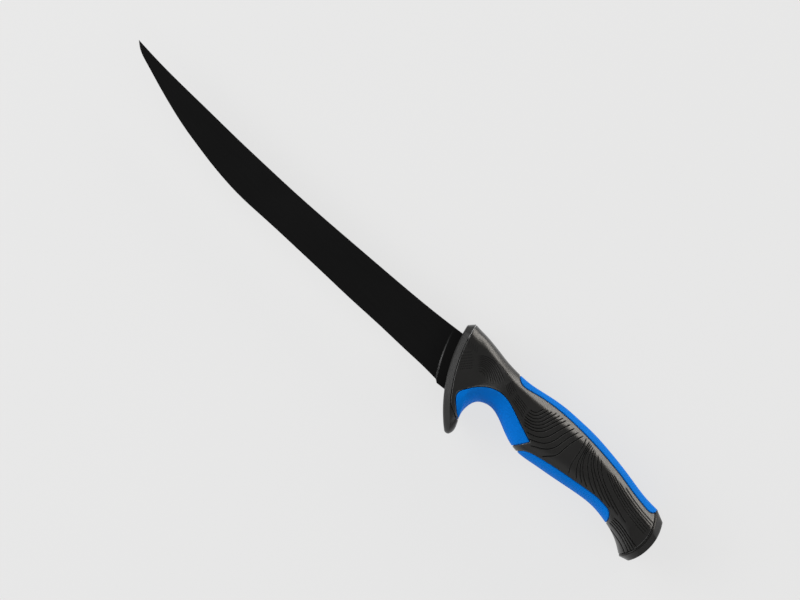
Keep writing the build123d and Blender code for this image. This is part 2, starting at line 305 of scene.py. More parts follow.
@dataclass
class EndArc:
    """The circle of an end face: the one through three places of the side view."""

    centre: Array
    radius: float

    @classmethod
    def through(cls, places: Array) -> "EndArc":
        """The circle through three places, from the two chords' equal distances.

        Args:
            places: Three places of the side view.

        Returns:
            The circle.
        """
        first, second, third = places
        a, b = second - first, third - first
        turn = 2.0 * (a[0] * b[1] - a[1] * b[0])
        cx = (b[1] * (a @ a) - a[1] * (b @ b)) / turn
        cy = (a[0] * (b @ b) - b[0] * (a @ a)) / turn
        return cls(first + (cx, cy), math.hypot(cx, cy))

    def reach(self, places: Array) -> Array:
        """Distance of each place from the circle's centre."""
        return np.hypot(places[..., 0] - self.centre[0], places[..., 1] - self.centre[1])

    def unroll(self, places: Array) -> Array:
        """Arc length round the circle to each place, from the positive X direction.

        Args:
            places: Places on the circle.

        Returns:
            The arc length of each.
        """
        angle = np.arctan2(places[..., 1] - self.centre[1], places[..., 0] - self.centre[0])
        faces_butt = self.centre[0] > BUTT_SIDE
        return np.where(faces_butt, angle, np.mod(angle, 2.0 * math.pi)) * self.radius

    def roll(self, flat: Array, radius: Optional[float] = None) -> Array:
        """Points at an arc length and a height, on this circle or on one of another radius.

        Args:
            flat: Arc length and height of each point.
            radius: The other radius, or None for this circle's.

        Returns:
            The points.
        """
        angle = flat[:, 0] / self.radius
        reach = self.radius if radius is None else radius
        x, y = self.centre[0] + reach * np.cos(angle), self.centre[1] + reach * np.sin(angle)
        return np.stack([x, y, flat[:, 1]], -1)


class GripForm:
    """The grip's smooth form.

    A rib at the place u has its lower end B(u), upper end T(u), half width H(u), crown share c(u) and facet
    slope, each a natural cubic through the ribs. A point at the share t round the half oval, from keel to
    crown, is (B + h (T - B), w H). The keel's quarter curve gives h and w first, then the side is straight, and
    the crown's curve, with h' and w, gives h = 1 - c (1 - h'). The crown starts with a slanted facet: w is
    mixed from a gentle and a steep crown by the slope wanted and the rib's proportions.
    """

    TABLE = 1600
    QUARTER = 500

    def __init__(self, sizes: GripSizes) -> None:
        """Fits the curves through the ribs and tables the oval by its length.

        Args:
            sizes: The grip's sizes.
        """
        self.sizes = sizes
        tops = sizes.places([rib[:2] for rib in RIBS])
        bottoms = sizes.places([rib[2:] for rib in RIBS])
        middles = np.array([(rib[0] + rib[2]) / 2.0 for rib in RIBS])
        widths = self._eased(middles, sizes.width_places, sizes.half_widths)
        crowns = self._eased(middles, sizes.crown_places, sizes.crown_shares)
        slopes = self._eased(middles, sizes.crown_places, sizes.facet_slopes)
        steps = (np.hypot(*np.diff(tops, axis=0).T) + np.hypot(*np.diff(bottoms, axis=0).T)) / 2.0
        knots = np.concatenate([[0.0], np.cumsum(steps)])
        self.length = knots[-1]
        self.curve = CubicCurve(knots, np.column_stack([bottoms, tops, widths, crowns, slopes]))
        self._table_u = np.linspace(0.0, self.length, self.TABLE)
        self._table = self.curve(self._table_u)
        self._tabulate_oval()
        self.guard_arc = EndArc.through(sizes.places(GUARD_ARC))
        self.butt_arc = EndArc.through(sizes.places(BUTT_ARC))

    @staticmethod
    def _eased(places: Array, held_places: Sequence[float], held_values: Sequence[float]) -> Array:
        """Values at places along the grip, eased as a cosine between the named ones.

        Args:
            places: Where to read the value.
            held_places: The named places.
            held_values: The value at each of them.

        Returns:
            One value for each place.
        """
        held, values = np.array(held_places), np.array(held_values)
        span = np.clip(np.searchsorted(held, places) - 1, 0, len(held) - 2)
        share = np.clip((places - held[span]) / (held[span + 1] - held[span]), 0.0, 1.0)
        return values[span] + (1.0 - np.cos(math.pi * share)) / 2.0 * (values[span + 1] - values[span])

    def _tabulate_oval(self) -> None:
        """Tables the two quarter curves of the half oval by their length on a typical rib.

        The keel's quarter is the cubic (1-s)^3 p0 + 3 (1-s)^2 s p1 + 3 (1-s) s^2 p2 + s^3 p3.
        """
        size = self.sizes
        s = np.linspace(0.0, 1.0, self.QUARTER)[:, None]
        rest = 1.0 - s
        p = np.array(((0, 0), (0, size.fullness), (1 - size.fullness, 1), (1, 1)))
        self._keel = rest**3 * p[0] + 3 * rest**2 * s * p[1] + 3 * rest * s**2 * p[2] + s**3 * p[3]
        self._crown, self._steep = self._spline(GENTLE_CROWN), self._spline(STEEP_CROWN)

        def lengths(curve: Array, rise: float) -> Array:
            """Length along a quarter curve on the typical rib."""
            steps = np.diff(curve * (rise * TYPICAL_HEIGHT, TYPICAL_HALF_WIDTH), axis=0)
            return np.concatenate([[0.0], np.cumsum(np.hypot(*steps.T))])

        low, high = lengths(self._keel, size.keel_share), lengths(self._crown, TYPICAL_CROWN)
        side = (1.0 - size.keel_share - TYPICAL_CROWN) * TYPICAL_HEIGHT
        whole = low[-1] + side + high[-1]
        self._keel_t = low / whole
        self.keel_end = self._keel_t[-1]
        self._crown_t = (low[-1] + side + high) / whole

    def _spline(self, pulls: Points) -> Array:
        """Points of the curve whose span k is (1-s)^2 (p0+p1)/2 + 2 s (1-s) p1 + s^2 (p1+p2)/2.

        Args:
            pulls: The points that the curve is drawn towards.

        Returns:
            The curve's points, from the middle of the first leg to the middle of the last.
        """
        p = np.array(pulls)
        place = np.linspace(0.0, len(p) - 2.0, self.QUARTER)
        span = np.minimum(place.astype(int), len(p) - 3)
        s = (place - span)[:, None]
        start, end = (p[span] + p[span + 1]) / 2.0, (p[span + 1] + p[span + 2]) / 2.0
        return (1.0 - s) ** 2 * start + 2.0 * s * (1.0 - s) * p[span + 1] + s**2 * end

    def oval(self, rib: Array, t: Array) -> tuple[Array, Array]:
        """The shares h of the height and w of the half width at the share t round the half oval of a rib.

        Args:
            rib: The rib's numbers on the last axis.
            t: Shares round the half oval.

        Returns:
            The two shares h and w.
        """
        keel, crown = self.sizes.keel_share, rib[..., 5]
        low = keel * np.interp(t, self._keel_t, self._keel[:, 0])
        high = 1.0 - crown * (1.0 - np.interp(t, self._crown_t, self._crown[:, 0]))
        start, end = self.keel_end, self._crown_t[0]
        side = keel + (1.0 - crown - keel) * (t - start) / (end - start)
        h = np.where(t < start, low, np.where(t > end, high, side))
        height = np.hypot(rib[..., 2] - rib[..., 0], rib[..., 3] - rib[..., 1])
        wanted = rib[..., 6] * crown * height / rib[..., 4]
        steep = (wanted - GENTLE_SLOPE) / (STEEP_SLOPE - GENTLE_SLOPE)
        gentle_w, steep_w = (np.interp(t, self._crown_t, curve[:, 1]) for curve in (self._crown, self._steep))
        mixed = gentle_w + steep * (steep_w - gentle_w)
        return h, np.where(t < start, np.interp(t, self._keel_t, self._keel[:, 1]), mixed)

    def share_round(self, u: Array, h: Array) -> Array:
        """The share t round the half oval at the share h of the height.

        Args:
            u: Places along the grip.
            h: Shares of the height there.

        Returns:
            The shares t.
        """
        keel, crown = self.sizes.keel_share, self.curve(u)[..., 5]
        low = np.interp(h / keel, self._keel[:, 0], self._keel_t)
        high = np.interp(1.0 - (1.0 - h) / crown, self._crown[:, 0], self._crown_t)
        start, end = self.keel_end, self._crown_t[0]
        side = start + (end - start) * (h - keel) / (1.0 - crown - keel)
        return np.where(h < keel, low, np.where(h > 1.0 - crown, high, side))

    def point(self, u: Array, t: Array, inset: float = 0.0) -> Array:
        """Points of the form's left half, or of the same form at a depth below it.

        Args:
            u: Places along the grip.
            t: Shares round the half oval.
            inset: Depth below the form's surface.

        Returns:
            The points, with x, y and z on the last axis.
        """
        u, t = np.broadcast_arrays(u, t)
        rib = self.curve(u)
        bottom, half = rib[..., 0:2], rib[..., 4]
        h, w = self.oval(rib, t)
        line = rib[..., 2:4] - bottom
        height = np.hypot(line[..., 0], line[..., 1])
        share = (inset + h * (height - 2.0 * inset)) / height
        z = np.minimum(w * (half - inset), self.sizes.rest_half_width)
        return np.concatenate([bottom + share[..., None] * line, z[..., None]], -1)

    def normal(self, u: Array, t: Array) -> Array:
        """Outward unit normals of the left half, from the cross product of its two slopes.

        Args:
            u: Places along the grip.
            t: Shares round the half oval.

        Returns:
            The normals, with x, y and z on the last axis.
        """
        along = self.point(u + NUDGE, t) - self.point(u - NUDGE, t)
        round_it = self.point(u, np.minimum(t + NUDGE, 1.0)) - self.point(u, np.maximum(t - NUDGE, 0.0))
        normal = np.cross(along, round_it)
        return normal / np.maximum(np.linalg.norm(normal, axis=-1, keepdims=True), TINY)

    def locate(self, places: Array) -> tuple[Array, Array]:
        """Finds the rib line through each place of the side view.

        Args:
            places: Places in the side view, one to a row.

        Returns:
            The place u of the rib line and the share h of its height.
        """
        bottom = self._table[:, 0:2]
        line = self._table[:, 2:4] - bottom
        offset = places[:, None, :] - bottom[None]
        side = offset[..., 0] * line[:, 1] - offset[..., 1] * line[:, 0]
        share = (offset * line).sum(-1) / (line * line).sum(-1)
        crosses = (side[:, 1:] > 0) != (side[:, :-1] > 0)
        index = np.where(crosses, np.abs(share[:, 1:] - 0.5), np.inf).argmin(1)
        row = np.arange(len(places))
        before, after = side[row, index], side[row, index + 1]
        way = before / np.where(np.abs(before - after) < TINY, TINY, before - after)
        u = self._table_u[index] + way * (self._table_u[1] - self._table_u[0])
        return u, share[row, index] + way * (share[row, index + 1] - share[row, index])

    def crossing(self, t: Array, gauge: Callable[[Array], Array], start: float, stop: float,
                 inset: float = 0.0, last: bool = False) -> Array:
        """Where lines along the form cross a boundary.

        Args:
            t: The lines' shares round the half oval.
            gauge: A number at each place, negative before the boundary and positive behind it.
            start: Share of the grip's length where the search starts.
            stop: Share where it stops.
            inset: Depth of the lines below the surface.
            last: Whether the last crossing is meant, not the first.

        Returns:
            The place u of each line's crossing.
        """
        u = np.linspace(start * self.length, stop * self.length, CROSSING_STEPS)
        value = gauge(self.point(u[:, None], t[None, :], inset)[..., :2])
        steps = (value[1:] >= 0) & (value[:-1] < 0)
        index = len(steps) - 1 - steps[::-1].argmax(0) if last else steps.argmax(0)
        column = np.arange(len(t))
        before, after = value[index, column], value[index + 1, column]
        return u[index] + (u[1] - u[0]) * before / np.minimum(before - after, -TINY)


@dataclass(frozen=True)
class LineFamily:
    """Lines cut in the grip, as places measured from the guard's foot.

    The lines pass evenly from one drawn line to the next: one between the drawn lines A and B at the share s
    is (1 - s) A + s B, taken at equal lengths. Each fades out over a share of its length at both ends.
    """

    between: tuple[int, ...]
    strength: float
    fade: float
    drawn: tuple[Points, ...]

    def lines(self, count: int) -> list[Array]:
        """All lines of the family, each with count points.

        Args:
            count: How many points each line gets.

        Returns:
            The lines, each with its points one to a row.
        """
        keys = [curve_through(points, count) for points in self.drawn]
        made = []
        for first, second, extra in zip(keys, keys[1:], self.between):
            made += [first + (second - first) * k / (extra + 1) for k in range(extra + 1)]
        return made + keys[-1:]


FAMILIES = (
    # Arches behind the guard, which run out towards the waist
    LineFamily((2, 2, 1), 0.65, 0.16, (
        ((5.4, 9.4), (8.4, 12.7), (13.0, 14.3), (18.6, 13.5), (25.8, 10.8)),
        ((7.4, 8.0), (10.0, 10.5), (13.8, 11.5), (18.2, 10.4), (24.2, 7.4)),
        ((9.4, 6.4), (11.3, 8.2), (14.2, 8.7), (17.2, 7.6), (20.6, 5.2)),
        ((11.6, 5.0), (12.8, 6.1), (14.4, 6.3), (16.2, 5.4)),
    )),
    # Slanted strokes from the guard's seam
    LineFamily((2, 2), 0.5, 0.16, (
        ((-1.6, 5.4), (0.8, 8.0), (2.6, 10.2)),
        ((1.2, 1.4), (4.0, 4.9), (6.4, 8.0)),
        ((3.8, -1.4), (6.0, 1.4), (9.0, 4.8)),
    )),
    LineFamily((3,), 0.4, 0.3, (
        ((-3.4, 13.7), (-0.8, 10.8), (0.8, 9.4)),
        ((2.0, 14.4), (3.8, 12.2), (5.0, 10.8)),
    )),
    # Slanted strokes at the waist
    LineFamily((3,), 0.6, 0.24, (
        ((26.4, 14.4), (29.4, 12.6), (34.0, 11.4)),
        ((25.6, 10.6), (29.2, 8.8), (33.4, 7.6)),
    )),
    # Lines along the head, above the finger pad
    LineFamily((3,), 0.7, 0.2, (
        ((33.0, 10.8), (38.0, 10.3), (44.0, 9.4)),
        ((33.6, 6.8), (39.0, 6.1), (46.0, 4.2)),
    )),
    # Nested sweeps of the palm, the innermost first
    LineFamily((2, 2, 2, 0), 1.0, 0.05, (
        ((44.6, 10.0), (47.0, 10.6), (48.4, 12.4), (49.0, 15.0)),
        ((44.4, 5.6), (49.2, 6.4), (52.8, 9.6), (54.2, 13.6), (55.4, 18.6)),
        ((47.3, 2.2), (52.8, 3.4), (57.2, 7.0), (59.1, 12.0), (61.6, 19.4)),
        ((57.2, -3.3), (61.0, -1.0), (64.9, 1.8), (67.4, 6.3), (68.2, 11.4), (70.4, 19.6)),
        ((65.5, -3.3), (68.2, 0.0), (70.2, 2.6), (71.0, 7.0), (71.4, 12.0), (73.4, 19.9)),
    )),
    # The answering sweeps behind them
    LineFamily((0, 1, 2, 1), 0.85, 0.05, (
        ((75.2, 20.2), (77.2, 14.4), (78.3, 8.9), (79.5, 4.4), (81.6, 0.6)),
        ((77.6, 20.0), (79.2, 13.6), (80.8, 8.6), (83.4, 4.6), (86.6, 1.4)),
        ((79.6, 19.8), (81.4, 12.6), (84.6, 8.0), (88.5, 4.8), (93.6, 2.2)),
        ((83.0, 18.8), (88.6, 12.0), (94.8, 8.6), (102.0, 5.4), (110.0, 3.4)),
        ((88.0, 17.8), (94.6, 12.2), (103.0, 8.4), (112.0, 5.6), (121.0, 3.4)),
    )),
    # Long lines towards the butt
    LineFamily((2,), 0.7, 0.05, (
        ((98.0, 16.8), (105.0, 14.4), (113.0, 12.4), (122.0, 11.0), (131.6, 10.4)),
        ((94.0, 15.6), (103.0, 11.6), (112.0, 8.8), (121.6, 7.0), (132.0, 6.2)),
    )),
    LineFamily((0,), 0.6, 0.05, (
        ((107.0, 16.4), (114.0, 14.9), (122.0, 13.8), (131.0, 13.3)),
        ((103.0, 16.0), (111.0, 13.9), (121.6, 12.4), (131.2, 11.9)),
    )),
    # Lines that fan out of the belly strip's end
    LineFamily((2, 0), 1.0, 0.05, (
        ((113.8, 1.0), (119.0, 1.0), (126.0, -0.2), (132.8, -1.4)),
        ((114.0, -2.2), (120.0, -2.6), (126.6, -4.2), (132.6, -6.4)),
        ((116.6, -4.2), (121.6, -5.0), (126.8, -6.2), (131.8, -8.4)),
    )),
)


@dataclass(frozen=True)
class Carving:
    """The fine lines cut in the grip: each is a smooth trough of a half width and a depth."""

    half_width: float = 0.42
    depth: float = 0.22
    points: int = 26

    def field(self, places: Array, sizes: GripSizes) -> Array:
        """How deep the troughs are at each place, as a share of the full depth.

        A trough's share is (1 + cos(pi d / half_width)) / 2 at the distance d from its line.

        Args:
            places: Places in the side view, one to a row.
            sizes: The grip's sizes.

        Returns:
            Shares from 0 on the plain surface to 1 in a trough.
        """
        deepest = np.zeros(len(places))
        for family in FAMILIES:
            for line in family.lines(self.points):
                line = line - (sizes.waist_ahead, 0.0)
                low, high = line.min(0) - self.half_width, line.max(0) + self.half_width
                near = np.flatnonzero(((places > low) & (places < high)).all(1))
                if len(near):
                    away, along = nearest_on_line(places[near], line[:-1], line[1:])
                    trough = (1.0 + np.cos(math.pi * np.minimum(away / self.half_width, 1.0))) / 2.0
                    inset = np.minimum(along, len(line) - 1 - along) / (len(line) - 1)
                    trough *= family.strength * ease(0.0, family.fade, inset)
                    deepest[near] = np.maximum(deepest[near], trough)
        return deepest


@dataclass
class Shell:
    """Points and faces of one closed surface, before it becomes an object."""

    points: Array
    faces: Array
    marks: Optional[Array] = None

    @classmethod
    def from_grid(cls, grid: Array, ring_rows: bool, ring_columns: bool, marks: Optional[Array] = None) -> "Shell":
        """Quads between neighbouring points of a grid.

        Args:
            grid: Points by row and column.
            ring_rows: Whether the last row joins the first.
            ring_columns: Whether the last column joins the first.
            marks: One number for each point, or None.

        Returns:
            The surface.
        """
        index = np.arange(grid.shape[0] * grid.shape[1]).reshape(grid.shape[:2])
        if ring_rows:
            index = np.concatenate([index, index[:1]])
        if ring_columns:
            index = np.concatenate([index, index[:, :1]], 1)
        faces = np.stack([index[:-1, :-1], index[1:, :-1], index[1:, 1:], index[:-1, 1:]], -1).reshape(-1, 4)
        return cls(grid.reshape(-1, 3), faces, None if marks is None else marks.reshape(-1))

    def mirrored(self) -> "Shell":
        """The same surface on the other side of the side view's plane, still facing outwards."""
        return Shell(self.points * FLIP, self.faces[:, ::-1], self.marks)



def strip_between(first: Array, second: Array) -> Array:
    """Faces of the flat strip between a long row of points and a shorter one.

    Point i of the long row goes with point round(i (m - 1) / (n - 1)) of the short one.

    Args:
        first: Point numbers of the long row.
        second: Point numbers of the short row.

    Returns:
        Quads, some of them with one point twice.
    """
    partner = second[np.rint(np.arange(len(first)) * (len(second) - 1) / (len(first) - 1)).astype(int)]
    return np.stack([first[:-1], first[1:], partner[1:], partner[:-1]], -1)


class Workshop:
    """Turns surfaces into finished objects that ride on the knife."""

    def __init__(self, sizes: GripSizes) -> None:
        """Keeps the way from the side view's zero to the knife's origin."""
        self.shift = np.array(sizes.to_origin)

    def make(self, name: str, shell: Shell, material: bpy.types.Material,
             replaced: Sequence[str], sharp: float = SHARP) -> None:
        """Makes one piece.

        Args:
            name: The piece's name.
            shell: Its surface in millimetres, in the side view's frame.
            material: Its finish.
            replaced: The solids it stands for.
            sharp: Edges steeper than this many degrees stay crisp.
        """
        mesh = self._mesh(name, shell)
        mesh.set_sharp_from_angle(angle=math.radians(sharp))
        mesh.materials.append(material)
        piece = bpy.data.objects.new(name, mesh)
        bpy.context.scene.collection.objects.link(piece)
        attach(piece, BODY)
        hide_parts(*replaced)
        LOG.info("%s: %d faces", name, len(mesh.polygons))

    def _mesh(self, name: str, shell: Shell) -> bpy.types.Mesh:
        """A smooth, welded mesh that faces outwards; faces that the weld closes up are dropped.

        Args:
            name: The mesh's name.
            shell: Its surface in millimetres.

        Returns:
            The mesh in metres.
        """
        rounded = np.round(shell.points, WELD_DIGITS)
        _, first, welded = np.unique(rounded, axis=0, return_index=True, return_inverse=True)
        corners = welded.reshape(-1)[shell.faces]
        keep = corners != np.roll(corners, 1, axis=1)
        sound = keep.sum(1) >= 3
        corners, keep = corners[sound], keep[sound]
        totals = keep.sum(1).astype(np.int32)
        starts = np.concatenate([[0], np.cumsum(totals)[:-1]]).astype(np.int32)
        places = ((shell.points[first] + self.shift) * MM).astype(np.float32)
        mesh = bpy.data.meshes.new(name)
        mesh.vertices.add(len(places))
        mesh.vertices.foreach_set("co", places.ravel())
        mesh.loops.add(int(totals.sum()))
        mesh.loops.foreach_set("vertex_index", corners[keep].astype(np.int32))
        mesh.polygons.add(len(totals))
        mesh.polygons.foreach_set("loop_start", starts)
        if shell.marks is not None:
            layer = mesh.attributes.new(TROUGH, "FLOAT", "POINT")
            layer.data.foreach_set("value", shell.marks[first].astype(np.float32))
        mesh.update(calc_edges=True)
        mesh.validate()
        worked = bmesh.new()
        worked.from_mesh(mesh)
        bmesh.ops.recalc_face_normals(worked, faces=worked.faces)
        if worked.calc_volume(signed=True) < 0:
            bmesh.ops.reverse_faces(worked, faces=worked.faces)
        worked.to_mesh(mesh)
        worked.free()
        mesh.polygons.foreach_set("use_smooth", np.ones(len(mesh.polygons), bool))
        return mesh


@dataclass
class GripPieces:
    """What the grip's pieces share: its form, its regions and the gaps between them."""

    form: GripForm
    lip: float = 0.16
    lip_rounds: int = 4
    wall: float = 1.4
    guard_gap: float = 0.3
    regions: dict[str, Region] = field(default_factory=dict)

    def __post_init__(self) -> None:
        """Draws the seam lines of the three coloured inlays."""
        place = self.form.sizes.places
        closed = {
            "choil_pad": (CHOIL_SEAM, CHOIL_END),
            "belly_strip": (BELLY_SEAM, BELLY_SEAM[:1]),
            "spine_strip": (SPINE_SEAM, SPINE_CLOSE),
        }
        self.regions = {
            name: Region(curve_through(place(seam), SEAM_POINTS), place(closing))
            for name, (seam, closing) in closed.items()
        }

    def guard_line(self, t: Array, grown: float = 0.0, inset: float = 0.0) -> Array:
        """Where lines along the form leave the guard.

        A place is behind the guard where the smaller of its distances behind the guard's band and above the
        prong's seam is over the gap.

        Args:
            t: The lines' shares round the half oval.
            grown: A gap that the guard is grown by.
            inset: Depth of the lines below the surface.

        Returns:
            The place u of each line's crossing.
        """
        arc, band = self.form.guard_arc, self.form.sizes.guard_band
        seam = self.form.sizes.places(PRONG_SEAM)

        def gauge(places: Array) -> Array:
            """Negative in the guard, prong and all, and positive behind it."""
            behind = arc.radius - band - arc.reach(places)
            above = places[..., 1] - np.interp(places[..., 0], seam[:, 0], seam[:, 1])
            return np.minimum(behind, above) - grown

        return self.form.crossing(t, gauge, 0.0, GUARD_SEARCH, inset, last=True)

    def front_line(self, t: Array, inside: Union[Array, float] = 0.0) -> Array:
        """Where lines along the form cross the guard's front cylinder, or one smaller by a distance."""
        arc = self.form.guard_arc
        return self.form.crossing(t, lambda p: arc.radius - inside - arc.reach(p), 0.0, FRONT_SEARCH)

    def butt_line(self, t: Array, inside: float = 0.0, inset: float = 0.0) -> Array:
        """Where lines along the form, or below it, cross the butt's cylinder, or one smaller by a distance."""
        arc = self.form.butt_arc
        return self.form.crossing(t, lambda p: arc.reach(p) - (arc.radius - inside), CAP_SEARCH, 1.0, inset)

    def full_ring(self, columns: int) -> tuple[Array, Array]:
        """Shares round the oval and sides for a whole ring, from the keel over the crown and back."""
        half = np.linspace(0.0, 1.0, columns)
        return np.concatenate([half, half[-2:0:-1]]), np.concatenate([np.ones(columns), -np.ones(columns - 2)])

    def on_side(self, points: Array, sides: Array) -> Array:
        """Points of the left half, mirrored where the side is the right one."""
        return points * np.stack([np.ones_like(sides), np.ones_like(sides), sides], -1)

    def lip_rows(self, u_edge: Array, t: Array, inward: float) -> list[Array]:
        """Rows of a rounded lip on the left half, from the foot of its wall to the surface.

        At the angle a the row is lip (1 - sin a) from the edge and lip (1 - cos a) deep.

        Args:
            u_edge: Where the edge runs along the grip, for each line.
            t: The lines' shares round the half oval.
            inward: +1 where the piece lies towards the butt from the edge, or -1.

        Returns:
            Rows of points.
        """
        speed = np.linalg.norm(self.form.point(u_edge + NUDGE, t) - self.form.point(u_edge, t), axis=-1) / NUDGE
        rows = [self.form.point(u_edge, t) - self.wall * self.form.normal(u_edge, t)]
        for angle in np.linspace(0.0, math.pi / 2.0, self.lip_rounds):
            u = u_edge + inward * self.lip * (1.0 - math.sin(angle)) / speed
            rows.append(self.form.point(u, t) - self.lip * (1.0 - math.cos(angle)) * self.form.normal(u, t))
        return rows

    def band_rows_between(self, start: Array, stop: Array, t: Array, count: int) -> list[Array]:
        """Rows over the form after one line along it, up to and with another."""
        return [self.form.point(start + (stop - start) * share, t) for share in np.linspace(0.0, 1.0, count)[1:]]


@dataclass
class Blade:
    """The blade with its tang, ground flat from the spine to the edge ahead of an unground band.

    A station along the blade has its top y1, its foot y0 and half thicknesses a at the top and b at the foot.
    At the share v up from the foot the ground side is at z = b + (a - b) v, and it rises to half the stock's
    thickness over a short run at the band, which ends on a circle round the guard arc's centre. Stations and
    columns are crowded towards the tip and the two edges by a power of their shares.
    """

    form: GripForm
    length: float = 228.6
    rise: float = 13.7
    fall: float = 13.3
    stock: float = 2.2
    tip_stock: float = 0.7
    edge_stock: float = 0.3
    ricasso: float = 4.8
    plunge_run: float = 0.65
    heel_step: float = 1.0
    heel_bevel: float = 1.7
    tang_length: float = 108.0
    tang_end_rise: float = 12.5
    tang_foot_rise: float = 2.2
    shoulder_reach: float = 12.8
    shoulder_run: float = 10.0
    spine_round: float = 0.22
    edge_round: float = 0.06
    blade_rows: int = 330
    plunge_rows: int = 130
    plunge_zone: float = 22.0
    band_reach: float = 8.0
    tang_rows: int = 60
    side_columns: int = 60
    tip_crowding: float = 1.5
    edge_crowding: float = 1.8
    spine_line: Points = (
        (0.03, 0.934), (0.073, 0.839), (0.16, 0.686), (0.25, 0.562), (0.335, 0.453), (0.42, 0.347), (0.51, 0.255),
        (0.6, 0.197), (0.69, 0.153), (0.79, 0.131), (0.88, 0.109), (0.95, 0.124), (1.0, 0.161),
    )
    edge_line: Points = (
        (1.0, 0.161), (0.985, -0.03), (0.95, -0.259), (0.9, -0.511), (0.85, -0.744), (0.79, -0.977), (0.735, -1.128),
        (0.69, -1.233), (0.645, -1.305), (0.6, -1.338), (0.51, -1.278), (0.42, -1.218), (0.34, -1.173),
        (0.25, -1.128), (0.16, -1.056), (0.073, -1.012), (0.03, -0.985), (-0.011, -0.992),
    )

    def outline(self, points: Points, root: float) -> Array:
        """A smooth line of the side view from its shares of the blade's length, rise and fall.

        Args:
            points: Shares of the line's points.
            root: Where the guard's face is.

        Returns:
            The line's points, one to a row.
        """
        shares = np.asarray(points, float)
        y = np.where(shares[:, 1] > 0, shares[:, 1] * self.rise, shares[:, 1] * self.fall)
        return curve_through(np.column_stack([root - shares[:, 0] * self.length, y]), OUTLINE_POINTS)

    def stations(self, root: float) -> Array:
        """Places of the blade's rings, dense at the tip and at the unground band.

        Args:
            root: Where the guard's face is.

        Returns:
            The places along the blade, from the tip to the tang's end.
        """
        tip, zone, reach = root - self.length, root - self.plunge_zone, root + self.band_reach
        share = np.linspace(0.0, 1.0, self.blade_rows) ** self.tip_crowding
        at_band = np.linspace(zone, reach, self.plunge_rows)[1:]
        return np.concatenate([
            tip + (zone - tip) * share, at_band, np.linspace(reach, root + self.tang_length, self.tang_rows)[1:]
        ])

    def shell(self) -> Shell:
        """The blade's surface: rings round it at its stations, closed at the tip and the tang's end.

        Returns:
            The closed surface in millimetres, in the side view's frame.
        """
        arc = self.form.guard_arc
        root = self.form.sizes.place(*GUARD_ARC[1])[0]
        spine = self.outline(((0.0, 1.0), *self.spine_line), root)[::-1]
        edge = self.outline(self.edge_line, root)
        end, foot = root + self.tang_length, root + self.shoulder_reach
        top = np.concatenate([spine, [(end, self.tang_end_rise)]])
        shoulder = [
            (edge[-1, 0] + self.heel_bevel, -self.fall - self.heel_step),
            (foot, -self.fall),
            (foot + self.shoulder_run, self.tang_foot_rise),
            (end, self.tang_foot_rise),
        ]
        low = np.concatenate([edge, shoulder])
        x = self.stations(root)
        y1, y0 = np.interp(x, top[:, 0], top[:, 1]), np.interp(x, low[:, 0], low[:, 1])
        taper = np.clip((root - x) / self.length, 0.0, 1.0)
        high = (self.stock + taper * (self.tip_stock - self.stock))[:, None] / 2.0
        even = np.linspace(-1.0, 1.0, self.side_columns)
        v = 0.5 + 0.5 * np.sign(even) * (1.0 - (1.0 - np.abs(even)) ** self.edge_crowding)
        y = y0[:, None] + (y1 - y0)[:, None] * v
        ground = self.edge_stock / 2.0 + (high - self.edge_stock / 2.0) * v
        places = np.stack([np.broadcast_to(x[:, None], y.shape), y], -1)
        ahead = arc.reach(places) - arc.radius - self.ricasso
        z = self.stock / 2.0 + (ground - self.stock / 2.0) * ease(0.0, self.plunge_run, ahead)
        to_spine, to_edge = (y1 - y0)[:, None] * (1.0 - v), (y1 - y0)[:, None] * v
        z = z - self.spine_round * (1.0 - ease(0.0, self.spine_round, to_spine)) * np.minimum(high, 1.0)
        z = np.maximum(z - self.edge_round * (1.0 - ease(0.0, self.edge_round, to_edge)), self.edge_round)
        side = np.concatenate([places, z[..., None]], -1)
        ring = np.concatenate([side, (side * FLIP)[:, ::-1]], 1)
        ring[[0, -1]] = ring[[0, -1]].mean(1, keepdims=True)
        return Shell.from_grid(ring, False, True)


